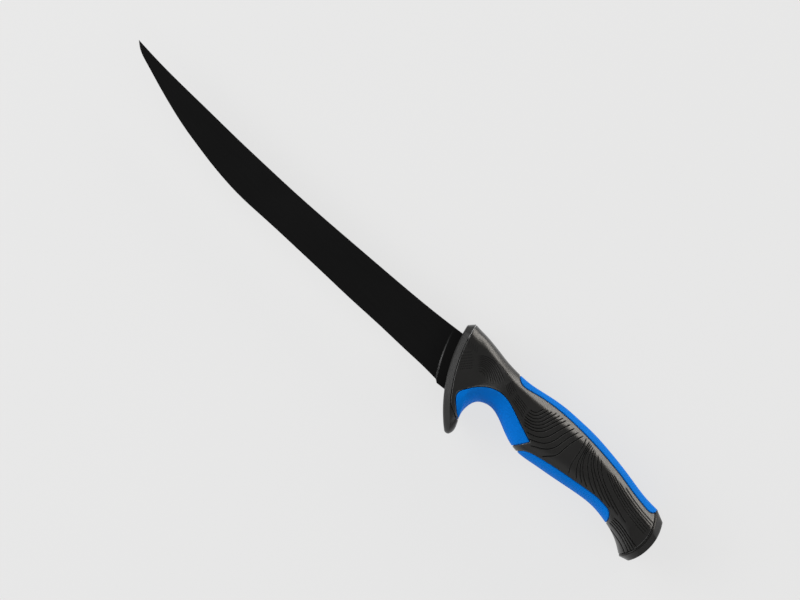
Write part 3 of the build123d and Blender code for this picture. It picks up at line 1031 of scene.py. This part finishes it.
@dataclass
class FingerGuard(GripPieces):
    """The guard: a bevelled band round the grip's front, drawn out into a prong, with a slot for the blade.

    Its surface is a ring of profiles. Each runs over the form to the bevel, down the bevel, over the
    front cylinder to the slot and back behind it. Front points are (arc length, z) on the cylinder.
    """

    columns: int = 150
    band_rows: int = 46
    bevel_rows: int = 5
    face_rows: int = 9
    lip_run: float = 1.3
    slot_rise: float = 13.35
    slot_fall: float = 14.5
    slot_half: float = 1.2
    edge_round: float = 0.16
    prong_bevel: float = 1.9
    prong_share: float = 0.26
    prong_round: float = 0.60

    def shell(self) -> Shell:
        """The guard's surface.

        Returns:
            The closed surface in millimetres, in the side view's frame.
        """
        form, sizes, arc = self.form, self.form.sizes, self.form.guard_arc
        t, sides = self.full_ring(self.columns)
        rear = self.guard_line(t)
        away = ease(0.0, self.prong_share, t)
        amount = self.prong_bevel + (sizes.guard_bevel - self.prong_bevel) * away
        rows = self.lip_rows(rear, t, -1.0)
        rows += self.band_rows_between(rear - self.lip * self.lip_run, self.front_line(t, amount), t, self.band_rows)
        rows = [self.on_side(row, sides) for row in rows]
        edge = self.on_side(form.point(self.front_line(t), t), sides)
        inner = self.inset_loop(arc, edge, amount[:, None])
        rows += self.bevel_profile(rows[-1], arc.roll(inner), edge, self.prong_round * (1.0 - away)[:, None])
        slot = self.slot_loop(arc, inner)
        rows += self.face_rows_between(arc, inner, slot)
        rows.append(arc.roll(slot, arc.radius - sizes.guard_band))
        return Shell.from_grid(np.stack(rows), True, True)

    def face_rows_between(self, arc: EndArc, outer: Array, inner: Array) -> list[Array]:
        """Rows over an end face's cylinder after its outer loop, up to and with its inner one."""
        return [arc.roll(outer + (inner - outer) * share) for share in np.linspace(0.0, 1.0, self.face_rows)[1:]]

    def bevel_profile(self, start: Array, end: Array, edge: Array, round_share: Union[Array, float]) -> list[Array]:
        """Rows down a bevel, with its two edges eased; it bulges towards the sharp edge by a share.

        A row at the share s is (1 - s)^2 a + 2 s (1 - s) c + s^2 b, where c lies between the middle of a and b
        and the sharp edge.

        Args:
            start: The bevel's edge on the form.
            end: The bevel's edge on the end face.
            edge: The sharp edge that the bevel takes away.
            round_share: 0 for a flat bevel, 1 for a full curve.

        Returns:
            Rows of points.
        """
        middle = (start + end) / 2.0
        pull = middle + (edge - middle) * round_share
        length = np.linalg.norm(end - start, axis=-1, keepdims=True)
        cut = self.edge_round / np.maximum(length, self.edge_round * LEAST_BEVEL)
        rows = []
        for number in range(self.bevel_rows):
            share = cut + (1.0 - 2.0 * cut) * number / (self.bevel_rows - 1)
            rows.append((1.0 - share) ** 2 * start + 2.0 * share * (1.0 - share) * pull + share**2 * end)
        return rows

    def inset_loop(self, arc: EndArc, edge: Array, amount: Union[Array, float]) -> Array:
        """The loop that runs inside an end face's edge at a distance, on its unrolled cylinder.

        Each point moves by the distance along (-dz, da), the loop's direction turned by a right angle.

        Args:
            arc: The end face's circle.
            edge: The loop of the edge.
            amount: The distance.

        Returns:
            Arc length and z of each point.
        """
        flat = np.stack([arc.unroll(edge), edge[:, 2]], -1)
        along = np.roll(flat, -2, axis=0) - np.roll(flat, 2, axis=0)
        inward = np.stack([-along[:, 1], along[:, 0]], -1)
        inward /= np.linalg.norm(inward, axis=-1, keepdims=True)
        towards = ((flat.mean(0) - flat) * inward).sum()
        return flat + amount * inward * (1.0 if towards > 0 else -1.0)

    def slot_loop(self, arc: EndArc, loop: Array) -> Array:
        """The blade slot's outline, with each point the nearest one to a loop's.

        Args:
            arc: The guard's front circle.
            loop: The loop round the slot, as arc length and z.

        Returns:
            The outline's points in the same form.
        """
        ends = np.array([self.slot_rise, -self.slot_fall])
        low, high = np.sort((math.pi - np.arcsin((ends - arc.centre[1]) / arc.radius)) * arc.radius)
        return np.stack([np.clip(loop[:, 0], low, high), np.clip(loop[:, 1], -self.slot_half, self.slot_half)], -1)



@dataclass
class ButtCap(FingerGuard):
    """The cap on the butt: a band over the form, a bevel and a cylindrical end face."""

    lip_run: float = 1.1

    def shell(self) -> Shell:
        """The cap's surface, closed at a pole inside and one on the end face.

        Returns:
            The closed surface in millimetres, in the side view's frame.
        """
        form, sizes, arc = self.form, self.form.sizes, self.form.butt_arc
        t, sides = self.full_ring(self.columns)
        seam = self.butt_line(t, sizes.cap_band)
        bevel = self.butt_line(t, sizes.cap_bevel)
        rows = self.lip_rows(seam, t, 1.0)
        rows += self.band_rows_between(seam + self.lip * self.lip_run, bevel, t, self.bevel_rows)
        rows = [self.on_side(row, sides) for row in rows]
        inside = rows[0]
        middle = np.array([inside[:, 0].mean(), inside[:, 1].mean(), 0.0])
        rows = [np.broadcast_to(middle, inside.shape), (middle + inside) / 2.0] + rows
        edge = self.on_side(form.point(self.butt_line(t), t), sides)
        inner = self.inset_loop(arc, edge, sizes.cap_bevel)
        rows += self.bevel_profile(rows[-1], arc.roll(inner), edge, 0.0)
        rows += self.face_rows_between(arc, inner, inner.mean(0) * (1.0, 0.0))
        return Shell.from_grid(np.stack(rows), False, True)


@dataclass
class GripSleeve(GripPieces):
    """One half of the black soft layer, with pockets for the inlays and fine lines cut in its sides.

    The outer surface is the form pushed in by the pockets and troughs. Points beside a pocket's rim slide
    along the grid's two directions until they lie on the rim, so that the rim runs smoothly.
    """

    rows: int = 536
    columns: int = 166
    keel_columns: float = 0.28
    inner_rows: int = 40
    rim: float = 0.36
    rim_reach: float = 0.4
    rim_round: float = 0.14
    line_end: float = 0.5
    pocket: float = 2.0
    pocket_run: float = 0.22
    slide: float = 0.5
    edge_slide: float = 0.02
    carving: Carving = field(default_factory=Carving)

    def shell(self) -> Shell:
        """The left half's surface, with the troughs marked.

        Returns:
            The closed surface in millimetres, in the side view's frame.
        """
        form, skin = self.form, self.form.sizes.skin
        behind_cap = form.sizes.cap_band + self.guard_gap
        even = np.linspace(0.0, 1.0, self.columns)
        t = np.interp(even, [0.0, self.keel_columns, 1.0], [0.0, form.keel_end, 1.0])
        start, stop = self.guard_line(t, self.guard_gap), self.butt_line(t, behind_cap)
        u = start + (stop - start) * np.linspace(0.0, 1.0, self.rows)[:, None]
        t_grid = np.broadcast_to(t, u.shape)
        u, t_grid, inside = self.slide_to_rim(u, t_grid, self.pocket_depth(form.point(u, t_grid)))
        surface = form.point(u, t_grid)
        troughs = self.carving.field(surface[..., :2].reshape(-1, 2), form.sizes).reshape(u.shape)
        troughs = troughs * (1.0 - ease(-self.rim - self.line_end, -self.rim, inside))
        drop = self.pocket * ease(-self.rim, -self.rim + self.pocket_run, inside)
        drop += self.rim_round * ease(-self.rim - self.rim_reach, -self.rim, inside) ** 2
        drop += self.rim_round * (1.0 - ease(0.0, self.rim_reach, np.minimum(u - start, stop - u))) ** 2
        outer = surface - (drop + self.carving.depth * troughs)[..., None] * form.normal(u, t_grid)
        inner_start, inner_stop = self.guard_line(t, self.guard_gap, skin), self.butt_line(t, behind_cap, skin)
        back = np.linspace(1.0, 0.0, self.inner_rows)[:, None]
        inner = form.point(inner_start + (inner_stop - inner_start) * back, t, skin)
        marks = np.concatenate([troughs, np.zeros(inner.shape[:2])])
        shell = Shell.from_grid(np.concatenate([outer, inner]), True, False, marks)
        index = np.arange(len(shell.points)).reshape(-1, self.columns)
        strips = [strip_between(index[: self.rows, edge], index[self.rows :, edge][::-1]) for edge in (0, -1)]
        shell.faces = np.concatenate([shell.faces, *strips])
        return shell

    def pocket_depth(self, points: Array) -> Array:
        """How far inside the nearest inlay's region each point lies.

        Args:
            points: Points of the form.

        Returns:
            One depth for each point, negative outside the regions.
        """
        places = points[..., :2].reshape(-1, 2)
        depth = np.max([region.depth(places) for region in self.regions.values()], axis=0)
        return depth.reshape(points.shape[:-1])

    def slide_to_rim(self, u: Array, t: Array, inside: Array) -> tuple[Array, Array, Array]:
        """Moves the points within half a step of a pocket's rim onto it.

        With g the change of the depth d from one grid line to the next, a point moves by
        (-rim - d) g / |g|^2 steps.

        Args:
            u: Places along the grip.
            t: Shares round the half oval.
            inside: Depth inside the inlays' regions.

        Returns:
            The moved places and shares, and the depth there.
        """
        by_row, by_column = np.gradient(inside)
        square = np.maximum(by_row**2 + by_column**2, TINY)
        lack = -self.rim - inside
        row_step, column_step = lack * by_row / square, lack * by_column / square
        close = (np.abs(row_step) < self.slide) & (np.abs(column_step) < self.slide)
        close[:, [0, -1]] &= np.abs(column_step[:, [0, -1]]) < self.edge_slide
        close[[0, -1]] = False
        moved_u = np.where(close, u + row_step * np.gradient(u, axis=0), u)
        moved_t = np.clip(t + column_step * np.gradient(t, axis=1), 0.0, 1.0)
        moved_t[:, [0, -1]] = t[:, [0, -1]]
        return moved_u, np.where(close, moved_t, t), np.where(close, -self.rim, inside)


@dataclass
class Inlay(GripPieces):
    """A coloured soft inlay, which wraps round the grip's keel or crown from seam to seam.

    Its top is the form over lines in (u, t) from the keel or crown, at b = 0, to the seam, at b = 1:
    (u, t) = (u0, t0) + ((us, ts) - (u0, t0)) g(b) with g(b) = 1 - (1 - b)^crowding.
    """

    name: str = "choil_pad"
    across: float = 0.0
    rows: int = 230
    columns: int = 52
    crowding: float = 1.5
    root_pull: float = 0.35
    thickness: float = 1.8
    edge_round: float = 0.42
    under_columns: int = 7

    def seam_inside(self) -> tuple[Array, Array]:
        """The stretch of the seam that lies on the grip, as places u and shares t.

        Returns:
            The places u and the shares t of points at equal lengths along it.
        """
        region = self.regions[self.name]
        corner = region.closing[:1] if self.name == "choil_pad" else region.closing[:0]
        line = np.concatenate([region.seam, corner])
        steps = np.concatenate([[0.0], np.cumsum(np.hypot(*np.diff(line, axis=0).T))])
        length = np.linspace(0.0, steps[-1], FINE_SEAM)
        u, h = self.form.locate(np.stack([np.interp(length, steps, line[:, k]) for k in (0, 1)], 1))
        on_grip = (h > 0.0) & (h < 1.0)
        middle = int(np.flatnonzero(on_grip).mean())
        first = middle - np.argmin(on_grip[middle::-1]) + 1 if not on_grip[: middle + 1].all() else 0
        last = middle + np.argmin(on_grip[middle:]) - 1 if not on_grip[middle:].all() else len(h) - 1
        length, u, h = (values[first : last + 1] for values in (length, u, h))
        even = np.linspace(length[0], length[-1], self.rows)
        u, h = np.interp(even, length, u), np.interp(even, length, h)
        t = self.form.share_round(u, np.clip(h, 0.0, 1.0))
        t[[0, -1]] = self.across
        return u, t

    def shell(self) -> Shell:
        """The inlay's surface: top, rounded edge, wall and underside.

        Returns:
            The closed surface in millimetres, in the side view's frame.
        """
        seam_u, seam_t = self.seam_inside()
        root_u = np.linspace(seam_u[0], seam_u[-1], self.rows)
        root_u = root_u + self.root_pull * (seam_u - root_u)
        b = np.linspace(0.0, 1.0, self.columns)
        grow = 1.0 - (1.0 - b) ** self.crowding
        u = root_u[:, None] + (seam_u - root_u)[:, None] * grow
        t = self.across + (seam_t - self.across)[:, None] * grow
        points, normals = self.form.point(u, t), self.form.normal(u, t)
        depth = self.regions[self.name].depth(points[..., :2].reshape(-1, 2)).reshape(u.shape)
        depth = np.where(b == 1.0, 0.0, np.maximum(depth, 0.0))
        short = np.clip(self.edge_round - depth, 0.0, self.edge_round)
        drop = self.edge_round - np.sqrt(self.edge_round**2 - short**2)
        top = points - drop[..., None] * normals
        pick = np.linspace(self.columns - 1, 0, self.under_columns).astype(int)
        under = points[:, pick] - self.thickness * normals[:, pick]
        ring = np.concatenate([(top * FLIP)[:, :0:-1], top, under, (under * FLIP)[:, -2::-1]], 1)
        ring[[0, -1]] = ring[[0, -1]].mean(1, keepdims=True)
        return Shell.from_grid(ring, False, True)


def _operator(operation: str, swapped: bool = False) -> Callable[["Field", Union["Field", float]], "Field"]:
    """A method of Field that makes one sum.

    Args:
        operation: The Math node's operation.
        swapped: Whether the other value comes first.

    Returns:
        The method.
    """

    def method(self: "Field", other: Union["Field", float]) -> "Field":
        """The sum of this value and another."""
        return self.math(operation, *((other, self) if swapped else (self, other)))

    return method


class Field:
    """One value of a material's nodes, which takes part in ordinary sums."""

    def __init__(self, graph: "Graph", socket: bpy.types.NodeSocket) -> None:
        """Wraps a node's output socket."""
        self.graph = graph
        self.socket = socket

    def math(self, operation: str, *values: Union["Field", float]) -> "Field":
        """A Math node on the values."""
        made = self.graph.node("ShaderNodeMath", {"operation": operation}, dict(enumerate(values)))
        return Field(self.graph, made.outputs[0])

    __add__, __radd__ = _operator("ADD"), _operator("ADD", True)
    __sub__, __rsub__ = _operator("SUBTRACT"), _operator("SUBTRACT", True)
    __mul__, __rmul__ = _operator("MULTIPLY"), _operator("MULTIPLY", True)

    def clamped(self) -> "Field":
        """The value kept between 0 and 1."""
        return self.math("MINIMUM", self.math("MAXIMUM", self, 0.0), 1.0)


class Graph:
    """The nodes of one material, ending in a principled shader."""

    def __init__(self, name: str) -> None:
        """Starts a material with a principled shader and its object coordinates.

        Args:
            name: The material's name.
        """
        self.material = bpy.data.materials.new(name)
        self.material.use_nodes = True
        self.tree = self.material.node_tree
        self.tree.nodes.clear()
        self.shader = self.node("ShaderNodeBsdfPrincipled", {}, {})
        self.node("ShaderNodeOutputMaterial", {}, {"Surface": self.shader.outputs[0]})
        self.coordinates = self.node("ShaderNodeTexCoord", {}, {}).outputs["Object"]

    def feed(self, node: bpy.types.Node, inputs: Inputs) -> None:
        """Gives a node's sockets their values or links, by name or number.

        Args:
            node: The node.
            inputs: Values or links for its sockets.
        """
        for key, value in inputs.items():
            source = value.socket if isinstance(value, Field) else value
            if isinstance(source, bpy.types.NodeSocket):
                self.tree.links.new(source, node.inputs[key])
            else:
                node.inputs[key].default_value = source

    def node(self, kind: str, settings: Mapping[str, object], inputs: Inputs) -> bpy.types.Node:
        """Adds one node.

        Args:
            kind: The node's type.
            settings: Its settings, such as an operation, which are set first.
            inputs: Values or links for its sockets, by name or number.

        Returns:
            The node.
        """
        made = self.tree.nodes.new(kind)
        for key, value in settings.items():
            setattr(made, key, value)
        self.feed(made, inputs)
        return made

    def stretched(self, scale: tuple[float, float, float]) -> bpy.types.NodeSocket:
        """The object coordinates scaled on each axis."""
        return self.node("ShaderNodeMapping", {}, {"Vector": self.coordinates, "Scale": scale}).outputs[0]

    def noise(self, scale: float, detail: float = 2.0, place: Optional[bpy.types.NodeSocket] = None) -> Field:
        """A cloudy noise around 0.5; scale is in features per metre."""
        inputs = {"Vector": place or self.coordinates, "Scale": scale, "Detail": detail, "Roughness": NOISE_ROUGHNESS}
        return Field(self, self.node("ShaderNodeTexNoise", {}, inputs).outputs["Fac"])

    def cells(self, scale: float) -> Field:
        """Distance from the middle of each cell of a grain; scale is in cells per metre."""
        inputs = {"Vector": self.coordinates, "Scale": scale}
        return Field(self, self.node("ShaderNodeTexVoronoi", {}, inputs).outputs["Distance"])

    def mark(self, name: str) -> Field:
        """A number that the mesh carries."""
        return Field(self, self.node("ShaderNodeAttribute", {"attribute_name": name}, {}).outputs["Fac"])

    def blend(self, share: Field, first: Union[Tone, bpy.types.NodeSocket], second: Tone) -> bpy.types.NodeSocket:
        """A colour between two others.

        Args:
            share: How much of the second colour is mixed in.
            first: The first colour, or a socket that gives it.
            second: The second colour.

        Returns:
            The socket of the mixed colour.
        """
        start = (*first, 1.0) if isinstance(first, tuple) else first
        settings = {"data_type": "RGBA", "clamp_factor": True}
        return self.node("ShaderNodeMix", settings, {0: share, 6: start, 7: (*second, 1.0)}).outputs[2]

    def clouded(self, share: Field, tone: Tone, lift: float) -> bpy.types.NodeSocket:
        """A tone that is lifted in places by a factor."""
        return self.blend(share, tone, tuple(min(1.0, part * lift) for part in tone))

    def relief(self, height: Field, distance: float) -> bpy.types.NodeSocket:
        """A normal that follows a height, with its full depth in metres."""
        return self.node("ShaderNodeBump", {}, {"Height": height, "Distance": distance, "Strength": 1.0}).outputs[0]

    def dress(self, **inputs: object) -> bpy.types.Material:
        """Sets the principled shader's sockets, with underscores for the spaces in their names."""
        self.feed(self.shader, {key.replace("_", " "): value for key, value in inputs.items()})
        return self.material


@dataclass(frozen=True)
class SoftPlastic:
    """Moulded soft plastic: a fine leathery grain, slight cloudiness, and painted shade in the troughs, which are
    darker and duller.
    """

    name: str
    tone: Tone
    trough_shade_tone: Tone
    roughness: float
    shine: float
    grain: float = 0.00002
    lift: float = 1.18
    cloud_scale: float = 90.0
    cloud_roughness: float = 0.06
    haze_scale: float = 900.0
    haze_roughness: float = 0.04
    pore_scale: float = 3400.0
    pore_share: float = 0.6
    crumb_scale: float = 5200.0
    base_drop: float = 0.05
    trough_reach: float = 1.35
    trough_roughness: float = 0.35

    def material(self) -> bpy.types.Material:
        """Builds the material; the troughs get painted shade: a darker colour, and no sheen, since a black metallic
        surface reflects nothing.

        Returns:
            The material.
        """
        graph = Graph(self.name)
        cloud = graph.noise(self.cloud_scale, CLOUD_DETAIL)
        trough = (graph.mark(TROUGH) * self.trough_reach).clamped()
        grain = graph.cells(self.pore_scale) * self.pore_share
        grain = grain + graph.noise(self.crumb_scale) * (1.0 - self.pore_share)
        rough = (self.roughness - self.base_drop) + self.cloud_roughness * cloud
        rough = rough + self.haze_roughness * graph.noise(self.haze_scale)
        return graph.dress(
            # Painted shade: the troughs' colour is mixed towards a darker tone, and Metallic takes their reflection
            # away
            Base_Color=graph.blend(trough, graph.clouded(cloud, self.tone, self.lift), self.trough_shade_tone),
            Roughness=rough + self.trough_roughness * trough,
            Metallic=trough,
            Specular_IOR_Level=self.shine,
            Normal=graph.relief(grain, self.grain),
        )


@dataclass(frozen=True)
class HardPlastic:
    """Hard moulded plastic with a fine spark-eroded texture."""

    name: str
    tone: Tone
    roughness: float = 0.42
    shine: float = 0.45
    grain: float = 0.000015
    lift: float = 1.15
    cloud_scale: float = 70.0
    cloud_roughness: float = 0.06
    spark_scale: float = 4200.0
    spark_roughness: float = 0.08
    base_drop: float = 0.05

    def material(self) -> bpy.types.Material:
        """Builds the material.

        Returns:
            The material.
        """
        graph = Graph(self.name)
        cloud = graph.noise(self.cloud_scale, CLOUD_DETAIL)
        fine = graph.noise(self.spark_scale, CLOUD_DETAIL)
        rough = (self.roughness - self.base_drop) + self.cloud_roughness * cloud + self.spark_roughness * fine
        return graph.dress(
            Base_Color=graph.clouded(cloud, self.tone, self.lift),
            Roughness=rough,
            Specular_IOR_Level=self.shine,
            Normal=graph.relief(fine, self.grain),
        )


@dataclass(frozen=True)
class CoatedSteel:
    """Steel under a thin black non-stick coat: faint lengthwise streaks and a soft orange peel."""

    name: str
    tone: Tone = (0.0040, 0.0040, 0.0041)
    roughness: float = 0.32
    shine: float = 0.25
    peel: float = 0.000006
    lift: float = 1.35
    streak: tuple[float, float, float] = (60.0, 2200.0, 2200.0)
    streak_share: float = 0.3
    streak_roughness: float = 0.09
    cloud_scale: float = 38.0
    cloud_roughness: float = 0.06
    peel_scale: float = 1500.0
    base_drop: float = 0.07

    def material(self) -> bpy.types.Material:
        """Builds the material.

        Returns:
            The material.
        """
        graph = Graph(self.name)
        streaks = graph.noise(1.0, CLOUD_DETAIL, graph.stretched(self.streak))
        cloud = graph.noise(self.cloud_scale, CLOUD_DETAIL)
        rest, part = 1.0 - self.streak_share, streaks * self.streak_share
        rough = (self.roughness - self.base_drop) + self.streak_roughness * streaks
        return graph.dress(
            Base_Color=graph.clouded(cloud * rest + part, self.tone, self.lift),
            Roughness=rough + self.cloud_roughness * cloud,
            Specular_IOR_Level=self.shine,
            Normal=graph.relief(graph.noise(self.peel_scale) * rest + part, self.peel),
        )


class Finish(Enum):
    """The knife's finishes."""

    BLADE = CoatedSteel("coated_blade")
    CORE = HardPlastic("core_plastic", (0.03, 0.03, 0.03))
    GUARD = HardPlastic("guard_plastic", (0.0140, 0.0137, 0.0135), 0.31, 0.26)
    CAP = HardPlastic("cap_plastic", (0.0110, 0.0107, 0.0105), 0.30, 0.20)
    # Each soft plastic's second tone is painted shade for the troughs
    BLACK = SoftPlastic("black_grip", (0.0130, 0.0127, 0.0122), (0.0010, 0.0009, 0.0008), 0.34, 0.58)
    BLUE = SoftPlastic("blue_grip", (0.0, 0.143, 0.56), (0.0, 0.05, 0.25), 0.55, 0.05)


@dataclass(frozen=True)
class SoftLight:
    """A large rectangular light: where it stands, how wide and high it is and how strong."""

    name: str
    place: tuple[float, float, float]
    size: tuple[float, float]
    power: float
    tone: Tone = (1.0, 1.0, 1.0)


@dataclass(frozen=True)
class Studio:
    """A pale floor, soft lights at the sides and a long lens straight above the knife."""

    floor_half: float = 6.0
    floor_tone: Tone = (0.10, 0.10, 0.10)
    floor_glow: float = 0.71
    floor_roughness: float = 0.9
    sky: float = 0.10
    picture_width: float = 0.4112
    distance: float = 5.0
    far: float = 100.0
    mid_height: float = 0.0135
    aim: tuple[float, float] = (0.004455, 0.00489)
    turn: float = 45.0
    sensor: float = 36.0
    lights: tuple[SoftLight, ...] = (
        SoftLight("spine_light", (0.0, 1.5, 0.30), (1.7, 0.5), 21.0, (1.0, 0.95, 0.88)),
        SoftLight("edge_light", (0.4, -1.2, 1.05), (2.6, 1.2), 3.0),
        SoftLight("front_light", (-1.25, -0.65, 0.58), (1.6, 0.8), 19.0),
        SoftLight("high_front", (-1.4, -0.1, 0.95), (2.2, 0.9), 12.0),
        SoftLight("high_rear", (1.4, 0.0, 0.90), (2.2, 0.8), 12.0),
    )

    def build(self) -> None:
        """Makes the floor, the lights, the sky and the camera."""
        self._floor()
        for light in self.lights:
            self._light(light)
        world = bpy.data.worlds.new("sky")
        world.use_nodes = True
        background = world.node_tree.nodes["Background"]
        background.inputs["Color"].default_value = (1.0, 1.0, 1.0, 1.0)
        background.inputs["Strength"].default_value = self.sky
        bpy.context.scene.world = world
        bpy.context.scene.view_settings.view_transform = "Standard"
        self._camera()

    def _floor(self) -> None:
        """A flat pale sheet that the knife lies on."""
        half = self.floor_half
        mesh = bpy.data.meshes.new("floor")
        corners = [(-half, -half, 0.0), (half, -half, 0.0), (half, half, 0.0), (-half, half, 0.0)]
        mesh.from_pydata(corners, [], [(0, 1, 2, 3)])
        glow = {"Emission_Color": (1.0, 1.0, 1.0, 1.0), "Emission_Strength": self.floor_glow}
        tone = (*self.floor_tone, 1.0)
        graph = Graph("pale_floor")
        mesh.materials.append(
            graph.dress(Base_Color=tone, Roughness=self.floor_roughness, Specular_IOR_Level=0.0, **glow)
        )
        floor = bpy.data.objects.new("floor", mesh)
        bpy.context.scene.collection.objects.link(floor)

    def _light(self, light: SoftLight) -> None:
        """One area light turned towards the knife.

        Args:
            light: The light's place, size, power and tone.
        """
        data = bpy.data.lights.new(light.name, "AREA")
        data.shape = "RECTANGLE"
        data.size, data.size_y = light.size
        data.energy = light.power
        data.color = light.tone
        lamp = bpy.data.objects.new(light.name, data)
        lamp.location = light.place
        lamp.rotation_euler = (-Vector(light.place)).to_track_quat("-Z", "Y").to_euler()
        lamp.visible_camera = False
        bpy.context.scene.collection.objects.link(lamp)

    def _camera(self) -> None:
        """A camera straight above, turned so that the blade points to the upper left."""
        data = bpy.data.cameras.new("camera")
        data.sensor_width = self.sensor
        data.lens = self.sensor * self.distance / self.picture_width
        data.clip_end = self.far
        camera = bpy.data.objects.new("camera", data)
        camera.location = (*self.aim, self.distance + self.mid_height)
        camera.rotation_euler = (0.0, 0.0, math.radians(self.turn))
        bpy.context.scene.collection.objects.link(camera)
        bpy.context.scene.camera = camera


def dress_node(name: str, material: bpy.types.Material) -> None:
    """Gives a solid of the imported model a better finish.

    Args:
        name: The solid's name.
        material: Its finish.
    """
    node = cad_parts[name]
    if not node.material_slots:
        node.data.materials.append(material)
    for place in node.material_slots:
        place.material = material


def main() -> None:
    """Builds the knife's visible pieces in order, then the studio."""
    logging.basicConfig(level=logging.INFO)
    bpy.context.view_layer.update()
    form = GripForm(GripSizes())
    shop = Workshop(form.sizes)
    finishes = {finish: finish.value.material() for finish in Finish}
    dress_node("handle_core", finishes[Finish.CORE])
    shop.make("blade_steel", Blade(form).shell(), finishes[Finish.BLADE], ["blade"], BLADE_SHARP)
    guard = FingerGuard(form).shell()
    shop.make("finger_guard_shell", guard, finishes[Finish.GUARD], ["finger_guard"])
    shop.make("butt_cap_shell", ButtCap(form).shell(), finishes[Finish.CAP], ["butt_cap"])
    half = GripSleeve(form).shell()
    for side, shell in (("left", half), ("right", half.mirrored())):
        name = f"grip_sleeve_{side}"
        shop.make(name, shell, finishes[Finish.BLACK], ["grip_sleeve"], SLEEVE_SHARP)
    for name, across in (("choil_pad", 0.0), ("belly_strip", 0.0), ("spine_strip", 1.0)):
        inlay = Inlay(form, name=name, across=across)
        shop.make(f"{name}_moulding", inlay.shell(), finishes[Finish.BLUE], [name])
    Studio().build()
    bpy.context.view_layer.update()


if __name__ == "__main__":
    main()
